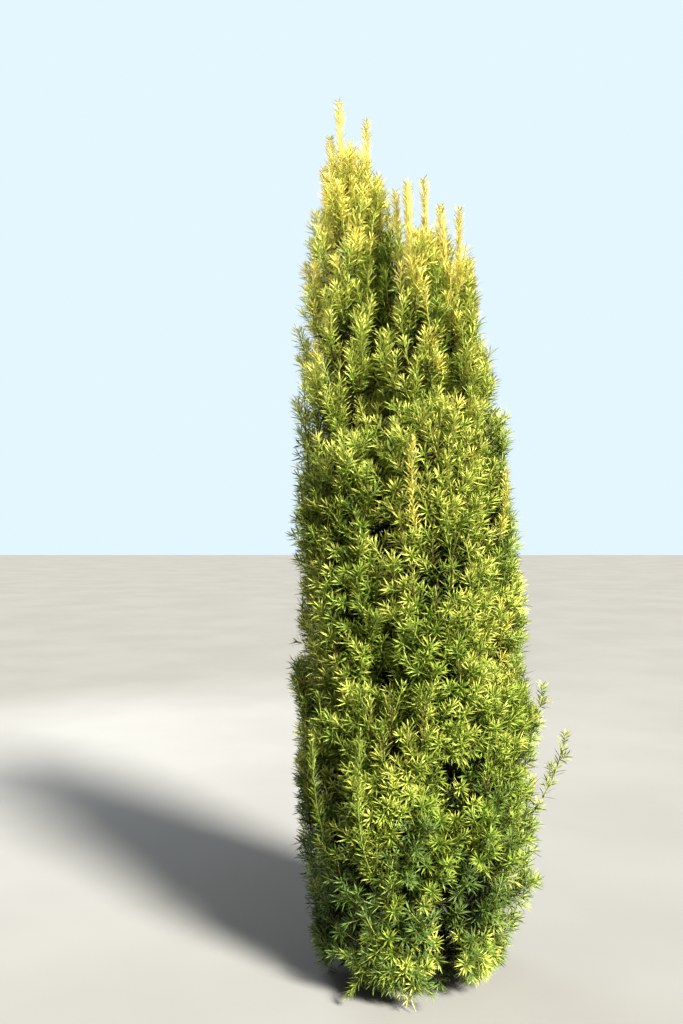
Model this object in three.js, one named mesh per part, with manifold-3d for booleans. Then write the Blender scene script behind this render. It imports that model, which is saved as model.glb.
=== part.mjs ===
// Irish yew, a columnar evergreen rooted in the ground, in millimetres with +Z up.
// The origin is the middle of the flat cut under the trunk, -Y is the front and +X the right side.
// A short trunk forks low into erect boughs, and each bough carries one mass of foliage.
// Each mass keeps to its own space inside the crown and is grown by one seeded rule.
import * as THREE from "three";
import { mergeVertices } from "three/addons/utils/BufferGeometryUtils.js";
import Module from "manifold-3d";

const wasm = await Module();
wasm.setup();
const { Manifold, Mesh } = wasm;

// Crown outline from the front: the middle x and the half width r at each height z
const CROWN = [
  { z: 0, x: 14, r: 200 },
  { z: 100, x: 14, r: 262 },
  { z: 320, x: 40, r: 306 },
  { z: 675, x: 21, r: 300 },
  { z: 1160, x: -5, r: 276 },
  { z: 1470, x: -22, r: 266 },
  { z: 1720, x: -37, r: 234 },
  { z: 1920, x: -37, r: 206 },
  { z: 2210, x: -52, r: 178 },
];
// The bare heart of the crown, where the boughs rise
const HEART = { share: 0.27, top: 800, closed: 1160, foot: 92, waist: 150 };
// The plumes at the top: where each leader's tip stands
const PLUMES = [
  { name: "left_front", x: -168, y: -42, z: 2196 },
  { name: "centre_front", x: 5, y: -84, z: 1990 },
  { name: "right_front", x: 137, y: -54, z: 1922 },
  { name: "right_back", x: 116, y: 102, z: 1884 },
  { name: "centre_back", x: 48, y: 24, z: 2002 },
  { name: "middle_back", x: -34, y: 156, z: 1916 },
  { name: "left_back", x: -178, y: 106, z: 1952 },
  { name: "left_centre", x: -101, y: 32, z: 2150 },
];
// Lesser leaders: the plume each one leaves, how far up its stem, and where its tip stands
const SIDE_LEADERS = [
  { mass: "plume_left_front", at: 0.6, tip: [-137, -74, 2068] },
  { mass: "plume_left_front", at: 0.52, tip: [-208, -20, 2036] },
  { mass: "plume_left_front", at: 0.3, tip: [-234, -36, 1856] },
  { mass: "plume_left_centre", at: 0.6, tip: [-66, 12, 2023] },
  { mass: "plume_centre_front", at: 0.56, tip: [-25, -104, 1966] },
  { mass: "plume_right_front", at: 0.56, tip: [92, -88, 1932] },
  { mass: "plume_right_front", at: 0.34, tip: [166, -30, 1802] },
  { mass: "plume_right_back", at: 0.2, tip: [190, 60, 1722] },
];
// The rings of masses under the plumes: foot and tip of each stem, the radii as shares of the crown's
const RINGS = [
  { name: "skirt", bearing: -18, foot: { share: 0.5, z: 72 }, tip: { share: 0.8, z: 720 } },
  { name: "waist", bearing: 18, foot: { share: 0.52, z: 600 }, tip: { share: 0.8, z: 1330 } },
];
const RING_COUNT = 5;
const TIP_STAGGER = 64;
// The plumes' feet: their share of the crown's radius, less for a tip under full from the middle
const PLUME_FOOT = { share: 0.46, z: 1110, level: 1610, full: 130, least: 0.6 };
// Loose shoots that stand out of the outline, each from the mass nearest its root
const STRAYS = [
  { mass: "skirt_2", at: 0.3, through: [322, -64, 414], tip: [418, -48, 586] },
  { mass: "skirt_2", at: 0.62, through: [296, -34, 580], tip: [354, -22, 698] },
  { mass: "skirt_1", at: 0.02, through: [-102, -164, 64], tip: [-152, -216, 30] },
];

// Trunk, with a flared foot and a low head from which the boughs spring
const TRUNK = { height: 156, foot: 80, neck: 52, head: 50, top: 34, lean: 8, sides: 16, steps: 7 };
const FLARE = { lobes: 5, depth: 0.16, height: 42 };
// Bough radii at fork and tip, and where each kind leaves the trunk
const BOUGH_FORMS = {
  skirt: { fork: 8, tip: 6, start: { r: 30, z: 44 }, shoulder: { share: 0.35, z: 58 } },
  waist: { fork: 8, tip: 6, start: { r: 39, z: 108 }, shoulder: { share: 0.27, z: 300 } },
  plume: { fork: 7.5, tip: 6, start: { r: 25, z: 130 }, shoulder: { share: 0.13, z: 400 } },
};
const BOUGH_BEND = { share: 0.12, drop: 0.3 };
const BOUGH_SIDES = 6;
const BOUGH_STEPS = 6;

// Growth rule. Every branchlet has a number, and its own draws from the seeded hash below.
const STEM_SHARE = 0.5;
const BRANCHLETS = 40;
const KEPT_EVERY = 4;
const GOLDEN_SHARE = 0.618034;
const SHORTEST_REACH = 31;
const REACH_STEP = 8;
const LONGEST_REACH = 210;
const HANGING_SHARE = 0.3;
const SPREAD = { skirt: 100, waist: 105, plume: 150 };
const EDGE_SHARE = 1.05;
const CORE_SHARE = 0.88;
const CORE_LUMP = 0.08;
const CORE_SIDES = 8;
const CORE_STEPS = 7;
const CORE_FORMS = {
  skirt: { from: -0.08, to: 0.92, foot: 0.85, tip: 0.62 },
  waist: { from: -0.08, to: 0.92, foot: 0.75, tip: 0.62 },
  plume: { from: -0.05, to: 0.88, foot: 0.75, tip: 0.4 },
};
const PLUME_TIP = { radius: 25, slope: 0.24 };
const RISE = { least: 110, most: 170, hang: -60 };
const BEND = { out: 1.06, up: 0.06 };
const SPRAY = { tooth: 28, sweep: 10, section: 27, sections: 3, tip: 22, half: 4, rise: 5.5 };
const LEADER = { tooth: 19, sweep: 16, section: 30, sections: 5, tip: 24, half: 4, rise: 6 };
const STRAY = { ...SPRAY, sections: 6 };
const SIDE_SHOOT = { at: 0.45, turn: 50, share: 0.55, every: 4 };

// Clearances between solids
const FIT = 0.3;
const LIMB_GAP = 2;
const SPACE_GAP = 7;
const GROUND_GAP = 4;
const OVER_TIP = 40;

const RADIANS = Math.PI / 180;
const lerp = THREE.MathUtils.lerp;
const clamp = THREE.MathUtils.clamp;

// A number from 0 to 1 that depends only on the seed and the draw
function chance(seed, draw) {
  let h = Math.imul(seed * 1013 + draw * 7919 + 17, 2654435761);
  h = Math.imul(h ^ (h >>> 15), 2246822519);
  h = Math.imul(h ^ (h >>> 13), 3266489917);
  return ((h ^ (h >>> 16)) >>> 0) / 4294967296;
}

// Solids and geometry
function solidFrom(geometry) {
  const bare = geometry.clone();
  bare.deleteAttribute("normal");
  bare.deleteAttribute("uv");
  const merged = mergeVertices(bare, 1e-3);
  const vertProperties = new Float32Array(merged.attributes.position.array);
  const triVerts = new Uint32Array(merged.index.array);
  return new Manifold(new Mesh({ numProp: 3, vertProperties, triVerts }));
}

function geometryFrom(solid) {
  const mesh = solid.getMesh();
  const geometry = new THREE.BufferGeometry();
  geometry.setAttribute("position", new THREE.BufferAttribute(mesh.vertProperties, 3));
  geometry.setIndex(new THREE.BufferAttribute(mesh.triVerts, 1));
  const flat = geometry.toNonIndexed();
  flat.computeVertexNormals();
  return flat;
}

// Keeps the one main body of a solid: loose scraps are dropped and sealed hollows filled
function oneBody(solid) {
  return solid.decompose().reduce((most, body) => (body.volume() > most.volume() ? body : most));
}

// Moves each vertex of a unit cylinder to where place(across, along, up) puts it
function shaped(cylinder, place) {
  const position = cylinder.attributes.position;
  for (let i = 0; i < position.count; i++) {
    const point = place(position.getX(i), position.getZ(i), position.getY(i) + 0.5);
    position.setXYZ(i, point.x, point.y, point.z);
  }
  return cylinder;
}

// A tapering limb along a curve, ending in a level cut
function limbGeometry(curve, radiusAt) {
  const frames = curve.computeFrenetFrames(BOUGH_STEPS, false);
  const cylinder = new THREE.CylinderGeometry(1, 1, 1, BOUGH_SIDES, BOUGH_STEPS);
  return shaped(cylinder, (a, b, t) => {
    const step = Math.round(t * BOUGH_STEPS);
    const centre = curve.getPointAt(t);
    const radius = radiusAt(t);
    const normal = frames.normals[step];
    const other = normal.clone().cross(frames.tangents[step]);
    const point = centre.clone().addScaledVector(normal, a * radius);
    point.addScaledVector(other, b * radius);
    if (step === BOUGH_STEPS) point.z = centre.z;
    return point;
  });
}

// The crown and the spaces in it
function crownAt(z) {
  let i = 1;
  while (i < CROWN.length - 1 && CROWN[i].z < z) i++;
  const [low, high] = [CROWN[i - 1], CROWN[i]];
  const t = clamp((z - low.z) / (high.z - low.z), 0, 1);
  return { x: lerp(low.x, high.x, t), r: lerp(low.r, high.r, t) };
}

function heartRadius(z) {
  const open = 1 - clamp((z - HEART.top) / (HEART.closed - HEART.top), 0, 1);
  const roundTrunk = HEART.foot * (1 - clamp(z / HEART.waist - 0.5, 0, 1));
  return Math.max(HEART.share * crownAt(z).r * open, roundTrunk);
}

// The point at a bearing from the front, turning to the right, at a share of the crown's radius
function crownPoint(bearing, share, z) {
  const crown = crownAt(z);
  const r = share * crown.r;
  return new THREE.Vector3(
    crown.x + r * Math.sin(bearing * RADIANS),
    -r * Math.cos(bearing * RADIANS),
    z,
  );
}

function distanceToSegment(p, from, to) {
  const [dx, dy, dz] = [to.x - from.x, to.y - from.y, to.z - from.z];
  const [px, py, pz] = [p.x - from.x, p.y - from.y, p.z - from.z];
  const t = clamp((px * dx + py * dy + pz * dz) / (dx * dx + dy * dy + dz * dz), 0, 1);
  return Math.hypot(px - t * dx, py - t * dy, pz - t * dz);
}

// The masses: a name, a kind, a seed and a straight stem from foot to tip
function listMasses() {
  const masses = [];
  for (const ring of RINGS) {
    for (let i = 0; i < RING_COUNT; i++) {
      const bearing = ring.bearing + (i * 360) / RING_COUNT;
      const lift = (chance(masses.length, 0) - 0.5) * 2 * TIP_STAGGER;
      masses.push({
        name: `${ring.name}_${i + 1}`,
        kind: ring.name,
        bearing,
        foot: crownPoint(bearing, ring.foot.share, ring.foot.z),
        tip: crownPoint(bearing, ring.tip.share, ring.tip.z + lift),
      });
    }
  }
  for (const plume of PLUMES) {
    const tip = new THREE.Vector3(plume.x, plume.y, plume.z);
    const below = crownAt(PLUME_FOOT.z);
    const [dx, dy] = [tip.x - crownAt(PLUME_FOOT.level).x, tip.y];
    const outward = clamp(Math.hypot(dx, dy) / PLUME_FOOT.full, PLUME_FOOT.least, 1);
    const share = PLUME_FOOT.share * outward;
    const r = (share * below.r) / Math.hypot(dx, dy);
    const foot = new THREE.Vector3(below.x + dx * r, dy * r, PLUME_FOOT.z);
    const bearing = Math.atan2(dx, -dy) / RADIANS;
    masses.push({ name: `plume_${plume.name}`, kind: "plume", bearing, foot, tip });
  }
  masses.forEach((mass, i) => (mass.seed = i + 1));
  return masses;
}

const masses = listMasses();

function stemPoint(mass, t) {
  return mass.foot.clone().lerp(mass.tip, t);
}

// A plume draws in towards its tip, so that the sky shows between the leaders
function plumeRadius(mass, z) {
  if (mass.kind !== "plume") return Infinity;
  return PLUME_TIP.radius + PLUME_TIP.slope * Math.max(mass.tip.z - z, 0);
}

// True if a point lies in a mass's own space, within a share of the crown's radius
function inSpace(mass, p, share, gap) {
  if (p.z < GROUND_GAP || p.z > mass.tip.z + OVER_TIP) return false;
  const crown = crownAt(p.z);
  if (Math.hypot(p.x - crown.x, p.y) > crown.r * share) return false;
  if (Math.hypot(p.x - crown.x, p.y) < heartRadius(p.z)) return false;
  const own = distanceToSegment(p, mass.foot, mass.tip);
  if (own > plumeRadius(mass, p.z) * share) return false;
  return masses.every(
    (other) => other === mass || distanceToSegment(p, other.foot, other.tip) > own + gap,
  );
}

// Boughs, from the trunk's head to the foot of each mass
function plumeOrder(mass) {
  const plumes = masses.filter((other) => other.kind === "plume");
  const sorted = plumes.sort((a, b) => a.bearing - b.bearing);
  return sorted.indexOf(mass) / sorted.length;
}

function boughCurve(mass, gap = FIT) {
  const form = BOUGH_FORMS[mass.kind];
  const firstPlume = Math.min(...masses.map((m) => (m.kind === "plume" ? m.bearing : 360)));
  const spread = mass.kind === "plume" ? firstPlume + 360 * plumeOrder(mass) : mass.bearing;
  const start = new THREE.Vector3(
    form.start.r * Math.sin(spread * RADIANS) + TRUNK.lean * 0.8,
    -form.start.r * Math.cos(spread * RADIANS),
    form.start.z,
  );
  const shoulder = crownPoint(spread, form.shoulder.share, form.shoulder.z);
  const under = mass.foot.clone().lerp(shoulder, BOUGH_BEND.share);
  under.z = lerp(mass.foot.z, shoulder.z, BOUGH_BEND.drop);
  const end = mass.foot.clone();
  end.z -= gap;
  return new THREE.CatmullRomCurve3([start, shoulder, under, end], false, "centripetal");
}

function limbSolid(mass, grow) {
  const form = BOUGH_FORMS[mass.kind];
  const radiusAt = (t) => lerp(form.fork, form.tip, t) + grow;
  return solidFrom(limbGeometry(boughCurve(mass, grow > 0 ? 0 : FIT), radiusAt));
}

// The trunk: a flared foot with lobes between the roots, a neck and a low head
function trunkSolid(grow) {
  const { height, foot, neck, head, top, lean, sides, steps } = TRUNK;
  const cylinder = new THREE.CylinderGeometry(1, 1, 1, sides, steps);
  const geometry = shaped(cylinder, (a, b, t) => {
    const z = t * (height + grow);
    const flare = Math.exp(-z / FLARE.height);
    const crown = clamp((t - 0.8) / 0.2, 0, 1);
    const body = lerp(lerp(neck, head, t), top, crown * crown);
    const lobes = 1 + FLARE.depth * flare * Math.cos(FLARE.lobes * Math.atan2(a, b));
    const radius = (body + (foot - neck) * flare) * lobes + grow;
    return new THREE.Vector3(a * radius + lean * t, -b * radius, z);
  });
  return solidFrom(geometry);
}

// The core of a mass: a lumpy spindle round its stem, drawn in from the edge of its space
function coreSolid(mass) {
  const form = CORE_FORMS[mass.kind];
  const least = BOUGH_FORMS[mass.kind].tip * 0.8;
  const around = (side) => {
    const turn = (side * 2 * Math.PI) / CORE_SIDES;
    return new THREE.Vector3(Math.sin(turn), -Math.cos(turn), 0);
  };
  const radiusOf = (step, side) => {
    const reaches = [-0.4, 0, 0.4].map((off) => {
      const at = clamp((step + off) / CORE_STEPS, 0, 1);
      const centre = stemPoint(mass, lerp(form.from, form.to, at));
      return reachAlong(mass, (r) => centre.clone().addScaledVector(around(side), r), CORE_SHARE);
    });
    const lump = 1 - CORE_LUMP * chance(mass.seed * 100 + step, side);
    const drawnIn = step === 0 ? form.foot : step === CORE_STEPS ? form.tip : 1;
    return Math.max(Math.min(...reaches) * lump * drawnIn, least);
  };
  const cylinder = new THREE.CylinderGeometry(1, 1, 1, CORE_SIDES, CORE_STEPS);
  const geometry = shaped(cylinder, (a, b, t) => {
    const step = Math.round(t * CORE_STEPS);
    const turn = Math.atan2(a, b);
    const side = (Math.round((turn / (2 * Math.PI)) * CORE_SIDES) + CORE_SIDES) % CORE_SIDES;
    const radius = Math.hypot(a, b) > 0.5 ? radiusOf(step, side) : 0;
    return stemPoint(mass, lerp(form.from, form.to, t)).addScaledVector(around(side), radius);
  });
  return solidFrom(geometry);
}

// The stem of a mass, as thick as its bough's tip and buried in the core
function stemSolid(mass) {
  const radius = BOUGH_FORMS[mass.kind].tip;
  const cylinder = new THREE.CylinderGeometry(1, 1, 1, BOUGH_SIDES, 1);
  const geometry = shaped(cylinder, (a, b, t) =>
    stemPoint(mass, t * STEM_SHARE).add(new THREE.Vector3(a * radius, -b * radius, 0)),
  );
  return solidFrom(geometry);
}

// How far out a point may move before it leaves the mass's space
function reachAlong(mass, pointAt, share) {
  let reach = 0;
  while (reach < LONGEST_REACH && inSpace(mass, pointAt(reach + REACH_STEP), share, SPACE_GAP)) {
    reach += REACH_STEP;
  }
  return reach;
}

// One branchlet of the rule: where it leaves the stem, its bearing, how far it reaches and rises
function branchletOf(mass, number) {
  const seed = mass.seed * 1000 + number;
  const along = (number + 0.5) / BRANCHLETS;
  const hand = 2 * ((number * GOLDEN_SHARE) % 1) - 1;
  const bearing = mass.bearing + hand * SPREAD[mass.kind] + (chance(seed, 1) - 0.5) * 20;
  const out = new THREE.Vector3(Math.sin(bearing * RADIANS), -Math.cos(bearing * RADIANS), 0);
  const level = mass.kind === "skirt" ? clamp(along / HANGING_SHARE, 0, 1) : 1;
  const root = stemPoint(mass, lerp(0.02, 0.9, along));
  const rise = lerp(RISE.hang, lerp(RISE.least, RISE.most, chance(seed, 2)), level);
  const above = root.clone().add(new THREE.Vector3(0, 0, rise));
  const whole = reachAlong(mass, (r) => above.clone().addScaledVector(out, r), 1);
  return { seed, root, out, rise, reach: whole * lerp(0.93, 1.01, chance(seed, 3)) };
}

// The branchlet's line: out to the crown's edge, then bending up along it
function branchletCurve({ root, out, rise, reach }) {
  const tip = root.clone().addScaledVector(out, reach);
  tip.z += rise;
  const bend = root.clone().addScaledVector(out, reach * BEND.out);
  bend.z += rise * BEND.up;
  return new THREE.QuadraticBezierCurve3(root, bend, tip);
}

// A three-sided shoot along a curve whose last stretch is a toothed spray of needles
function shootGeometry(curve, form, across, roll) {
  const length = curve.getLength();
  const sections = Math.min(form.sections, Math.floor((length * 0.85 - form.tip) / form.section));
  if (sections < 2) return null;
  const bare = length - form.tip - sections * form.section;
  const stops = [0];
  for (let i = 0; i <= sections; i++) stops.push(bare + i * form.section);
  const points = [];
  const faces = [];
  const rings = stops.map((stop, i) => {
    const centre = curve.getPointAt(stop / length);
    const along = curve.getTangentAt(stop / length);
    const flat = across.clone().addScaledVector(along, -across.dot(along)).normalize();
    const side = flat.applyAxisAngle(along, roll * RADIANS);
    const up = side.clone().cross(along);
    const slim = lerp(1, 0.55, i / sections);
    const left = centre.clone().addScaledVector(side, -form.half * slim);
    const right = centre.clone().addScaledVector(side, form.half * slim);
    const top = centre.clone().addScaledVector(up, form.rise * slim);
    const first = points.push(left, right, top) - 3;
    return { first, centre, along, side };
  });
  faces.push([0, 1, 2]);
  for (let i = 0; i + 1 < rings.length; i++) {
    const [l, r, t] = [0, 1, 2].map((k) => rings[i].first + k);
    const [nl, nr, nt] = [0, 1, 2].map((k) => rings[i + 1].first + k);
    faces.push([l, nl, r], [r, nl, nr]);
    if (i === 0) {
      faces.push([r, nr, t], [t, nr, nt], [t, nt, l], [l, nt, nl]);
      continue;
    }
    const { centre, along, side } = rings[i + 1];
    const draw = lerp(1, 0.8, (i - 1) / sections);
    const apex = (sign) =>
      centre
        .clone()
        .addScaledVector(side, sign * form.tooth * draw)
        .addScaledVector(along, form.sweep);
    const leftTooth = points.push(apex(-1)) - 1;
    const rightTooth = points.push(apex(1)) - 1;
    faces.push([r, nr, rightTooth], [r, rightTooth, t], [t, rightTooth, nt], [nt, rightTooth, nr]);
    faces.push([nl, l, leftTooth], [l, t, leftTooth], [t, nt, leftTooth], [nt, nl, leftTooth]);
  }
  const [l, r, t] = [0, 1, 2].map((k) => rings[rings.length - 1].first + k);
  const tip = points.push(curve.getPointAt(1)) - 1;
  faces.push([r, l, tip], [t, r, tip], [l, t, tip]);
  const geometry = new THREE.BufferGeometry().setFromPoints(points);
  geometry.setIndex(faces.flat());
  return geometry;
}

// Keeps a shoot only if all of it lies in its mass's space and clear of every limb
function fits(mass, geometry, limbs) {
  const position = geometry.attributes.position;
  for (let i = 0; i < position.count; i++) {
    const p = new THREE.Vector3().fromBufferAttribute(position, i);
    if (!inSpace(mass, p, EDGE_SHARE, SPACE_GAP / 3)) return false;
    if (limbs.some((limb) => limb.near(p))) return false;
  }
  return true;
}

// The limbs as runs of short straight stretches, to keep shoots clear of them
function limbRuns() {
  return masses.map((mass) => {
    const stops = boughCurve(mass).getSpacedPoints(BOUGH_STEPS);
    const reach = BOUGH_FORMS[mass.kind].fork + LIMB_GAP;
    const near = (p) =>
      stops.slice(1).some((stop, i) => distanceToSegment(p, stops[i], stop) < reach);
    return { near };
  });
}

// All the shoots of a mass: its leader, every kept branchlet, their side shoots and any stray
function shootsOf(mass, limbs) {
  const solids = [];
  const addBranchlet = (branchlet, roll) => {
    const across = new THREE.Vector3(-branchlet.out.y, branchlet.out.x, 0);
    const curve = branchletCurve(branchlet);
    const turns = [0, 50, -50].map((turn) => shootGeometry(curve, SPRAY, across, roll + turn));
    const geometry = turns.find((shoot) => shoot && fits(mass, shoot, limbs));
    if (geometry) solids.push(solidFrom(geometry));
    return Boolean(geometry);
  };
  const addLeader = (curve, form, draw) => {
    const roll = (chance(mass.seed, draw) - 0.5) * 50;
    solids.push(solidFrom(shootGeometry(curve, form, new THREE.Vector3(1, 0, 0), roll)));
  };
  const leaderForm = mass.kind === "plume" ? LEADER : SPRAY;
  addLeader(new THREE.LineCurve3(stemPoint(mass, STEM_SHARE), mass.tip), leaderForm, 6);
  for (let number = 0; number < BRANCHLETS; number += KEPT_EVERY) {
    const branchlet = branchletOf(mass, number);
    const roll = (chance(branchlet.seed, 4) - 0.5) * 70;
    let kept = false;
    while (!kept && branchlet.reach > SHORTEST_REACH) {
      kept = addBranchlet(branchlet, roll);
      if (!kept) branchlet.reach *= 0.9;
    }
    if (!kept || (number / KEPT_EVERY) % SIDE_SHOOT.every) continue;
    const hand = chance(branchlet.seed, 5) < 0.5 ? -1 : 1;
    const upright = new THREE.Vector3(0, 0, 1);
    const turned = branchlet.out.clone().applyAxisAngle(upright, hand * SIDE_SHOOT.turn * RADIANS);
    const root = branchletCurve(branchlet).getPointAt(SIDE_SHOOT.at);
    const reach = branchlet.reach * SIDE_SHOOT.share;
    addBranchlet({ ...branchlet, root, out: turned, reach }, -roll);
  }
  for (const leader of SIDE_LEADERS.filter((l) => l.mass === mass.name)) {
    const root = stemPoint(mass, leader.at);
    const tip = new THREE.Vector3(...leader.tip);
    const bend = root.clone().lerp(tip, 0.72);
    bend.z = lerp(root.z, tip.z, 0.4);
    addLeader(new THREE.QuadraticBezierCurve3(root, bend, tip), LEADER, 7);
  }
  for (const stray of STRAYS.filter((s) => s.mass === mass.name)) {
    const root = stemPoint(mass, stray.at);
    const through = new THREE.Vector3(...stray.through);
    const tip = new THREE.Vector3(...stray.tip);
    addLeader(new THREE.CatmullRomCurve3([root, through, tip]), STRAY, 8);
  }
  return solids;
}

// Colours and finishes
const bark = { color: 0x6b4a3a, roughness: 0.9, metalness: 0 };
const foliage = {
  skirt: { color: 0x4f7f32, roughness: 0.6, metalness: 0 },
  waist: { color: 0x6f9434, roughness: 0.6, metalness: 0 },
  plume: { color: 0xa9b23c, roughness: 0.6, metalness: 0 },
};

function part(name, solid, finish) {
  const mesh = new THREE.Mesh(geometryFrom(solid), new THREE.MeshStandardMaterial(finish));
  mesh.name = name;
  return mesh;
}

// The tree
const tree = new THREE.Group();
tree.add(part("trunk", trunkSolid(0), bark));
const trunkClear = trunkSolid(FIT);
for (const mass of masses) {
  const limb = limbSolid(mass, 0).subtract(trunkClear);
  tree.add(part(`bough_${mass.name}`, oneBody(limb), bark));
}
const limbsClear = Manifold.union(masses.map((mass) => limbSolid(mass, LIMB_GAP / 2)));
const limbs = limbRuns();
for (const mass of masses) {
  const whole = Manifold.union([coreSolid(mass), stemSolid(mass), ...shootsOf(mass, limbs)]);
  const solid = oneBody(whole.subtract(limbsClear));
  tree.add(part(`foliage_${mass.name}`, solid, foliage[mass.kind]));
}

export default tree;
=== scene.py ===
# Irish yew, a columnar evergreen: bark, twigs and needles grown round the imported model.
# Blender works in metres. The growth rule is in millimetres, as in the part's source.
import math

import bpy
import numpy as np
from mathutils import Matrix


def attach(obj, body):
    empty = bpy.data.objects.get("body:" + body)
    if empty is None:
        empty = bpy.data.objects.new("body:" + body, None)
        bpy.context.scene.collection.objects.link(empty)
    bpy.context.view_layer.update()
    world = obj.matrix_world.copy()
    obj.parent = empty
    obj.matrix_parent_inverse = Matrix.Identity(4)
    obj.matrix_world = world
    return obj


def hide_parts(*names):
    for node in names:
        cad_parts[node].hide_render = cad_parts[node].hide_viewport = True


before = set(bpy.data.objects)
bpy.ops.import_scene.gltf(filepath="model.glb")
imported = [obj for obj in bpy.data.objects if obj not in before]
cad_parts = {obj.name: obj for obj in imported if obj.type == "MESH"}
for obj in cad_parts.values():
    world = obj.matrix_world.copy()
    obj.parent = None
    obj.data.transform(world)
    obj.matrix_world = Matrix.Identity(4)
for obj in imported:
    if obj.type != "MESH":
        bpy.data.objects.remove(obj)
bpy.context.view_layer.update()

MM = 0.001

# Crown outline from the front: the middle x and the half width at each height
CROWN_HEIGHTS = [0, 100, 320, 675, 1160, 1470, 1720, 1920, 2210]
CROWN_MIDDLES = [14, 14, 40, 21, -5, -22, -37, -37, -52]
CROWN_RADII = [200, 262, 306, 300, 276, 266, 234, 206, 178]
# How far its left and right sides lie inside that round near the top
TRIM_HEIGHTS = [1470, 1540, 1600, 1720, 1860, 1930, 2210]
TRIM_LEFT = [0, 0, 0, 0, 8, 44, 34]
TRIM_RIGHT = [0, 8, 44, 30, 26, 14, 12]
# The bare heart of the crown, where the boughs rise
HEART = {"share": 0.27, "top": 800, "closed": 1160, "foot": 92, "waist": 150}
# The plumes at the top: where each leader's tip stands
PLUMES = {
    "left_front": (-168, -42, 2196),
    "centre_front": (-1, -84, 1978),
    "right_front": (133, -54, 1926),
    "right_back": (116, 102, 1884),
    "centre_back": (50, 24, 2027),
    "middle_back": (-34, 156, 1916),
    "left_back": (-178, 106, 1952),
    "left_centre": (-98, 32, 2182),
}
# Lesser leaders: the plume each one leaves, how far up its stem, and where its tip stands
SIDE_LEADERS = [
    ("plume_left_front", 0.6, (-137, -74, 2068)),
    ("plume_left_front", 0.62, (-192, -22, 2112)),
    ("plume_left_front", 0.52, (-208, -20, 2036)),
    ("plume_left_front", 0.3, (-234, -36, 1856)),
    ("plume_left_centre", 0.6, (-66, 12, 2023)),
    ("plume_centre_front", 0.56, (-28, -44, 1970)),
    ("plume_right_front", 0.56, (80, -88, 1922)),
    ("plume_right_front", 0.34, (166, -30, 1802)),
    ("plume_right_back", 0.2, (190, 60, 1722)),
]
# The rings of masses under the plumes: foot and tip of each stem, as shares of the crown's radius
RINGS = [
    {"name": "skirt", "bearing": -18, "foot": (0.5, 72), "tip": (0.8, 720)},
    {"name": "waist", "bearing": 18, "foot": (0.52, 600), "tip": (0.8, 1330)},
]
RING_COUNT = 5
TIP_STAGGER = 64
PLUME_FOOT = {"share": 0.46, "z": 1110, "level": 1610, "full": 130, "least": 0.6}
# A deep crease in the front, between the tall plumes on the left and the others; its sprays
# mostly take the dark leaf tint as painted shade
CREASE = {"x": -54, "half": 27, "bottom": 1590, "top": 1880, "open": -100, "dark": 0.6}
# Loose shoots that stand out of the outline: the mass each one leaves, how far up its stem, a
# point that it passes and its tip
STRAYS = [
    ("skirt_2", 0.3, (306, -64, 404), (390, -48, 574)),
    ("skirt_2", 0.62, (290, -34, 560), (340, -22, 690)),
]
STRAY_TUFTS = {"at": [0.56, 0.72, 0.8, 0.9, 1.0], "open": 1.1, "length": 22}
# Young shoots: one that lies on the soil, upright ones just proud of the crown, and ones that
# fill the gaps at its left side, in the crease and behind it. Each also has its tint; the dark
# leaf tint of the ones in the gaps, the crease and behind is painted shade
SPRIGS = [
    ("skirt_1", 0.02, (-100, -164, 64), (-146, -206, 30), "fresh"),
    ("skirt_5", 0.3, (-206, -176, 400), (-230, -182, 640), "fresh"),
    ("skirt_1", 0.26, (-112, -272, 390), (-119, -286, 656), "fresh"),
    ("waist_1", 0.54, (6, -262, 1112), (0, -282, 1316), "gold"),
    ("waist_2", 0.54, (226, -98, 1100), (238, -116, 1252), "gold"),
    ("waist_5", 0.55, (-72, -100, 1080), (-62, -96, 1200), "leaf"),
    ("plume_left_front", 0.1, (-208, -50, 1330), (-236, -60, 1460), "fresh"),
    ("plume_left_front", 0.12, (-206, -10, 1330), (-228, -4, 1490), "leaf"),
    ("plume_left_back", 0.12, (-206, 36, 1320), (-224, 42, 1470), "leaf"),
    ("plume_centre_front", 0.5, (3, -142, 1800), (1, -118, 1945), "gold"),
    ("plume_centre_front", 0.3, (-50, -44, 1620), (-50, -36, 1780), "fresh"),
    ("plume_left_centre", 0.44, (-62, 12, 1700), (-58, 14, 1880), "leaf"),
    ("plume_centre_back", 0.4, (-30, 40, 1660), (-36, 46, 1850), "leaf"),
    ("plume_middle_back", 0.4, (-44, 100, 1620), (-44, 92, 1840), "leaf"),
]

# Trunk and boughs, with the sizes of the part's source. A fork is a bough's radius at its root.
TRUNK = {"height": 156, "foot": 80, "neck": 52, "head": 50, "top": 34, "lean": 8}
FLARE = {"lobes": 5, "depth": 0.16, "height": 42}
BOUGH_FORMS = {
    "skirt": {"fork": 8, "start": (30, 44), "shoulder": (0.35, 58)},
    "waist": {"fork": 8, "start": (39, 108), "shoulder": (0.27, 300)},
    "plume": {"fork": 7.5, "start": (25, 130), "shoulder": (0.13, 400)},
}
# How a bough bends under its mass, how much of the trunk's lean its root takes, and how many
# points each span of it has
BOUGH_BEND = {"share": 0.12, "drop": 0.3}
BOUGH_LEAN = 0.8
SPAN_POINTS = 10
# How much of the stem a bough goes on along, and at how many points
LIMB_STEM = {"share": 0.5, "points": 5}
BARK = {
    "trunk_sides": 84, "trunk_rings": 40, "trunk_strips": 9, "trunk_relief": 0.055, "dome": 8,
    "inset": 0.3, "smooth_below": 50, "bough_sides": 14, "bough_steps": 96, "bough_strips": 3,
    "bough_relief": 0.14, "bough_end": 4.5, "bough_smoothing": 30,
}
# The bark's long strips and the flakes on them: how much each counts, how far they sway, and
# over what heights
STRIPS = {"share": 0.6, "sway": 1.4, "sway_height": 47, "height": 90}
FLAKES = {"share": 0.4, "sway": 2, "slant": 19, "height": 13}
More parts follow.
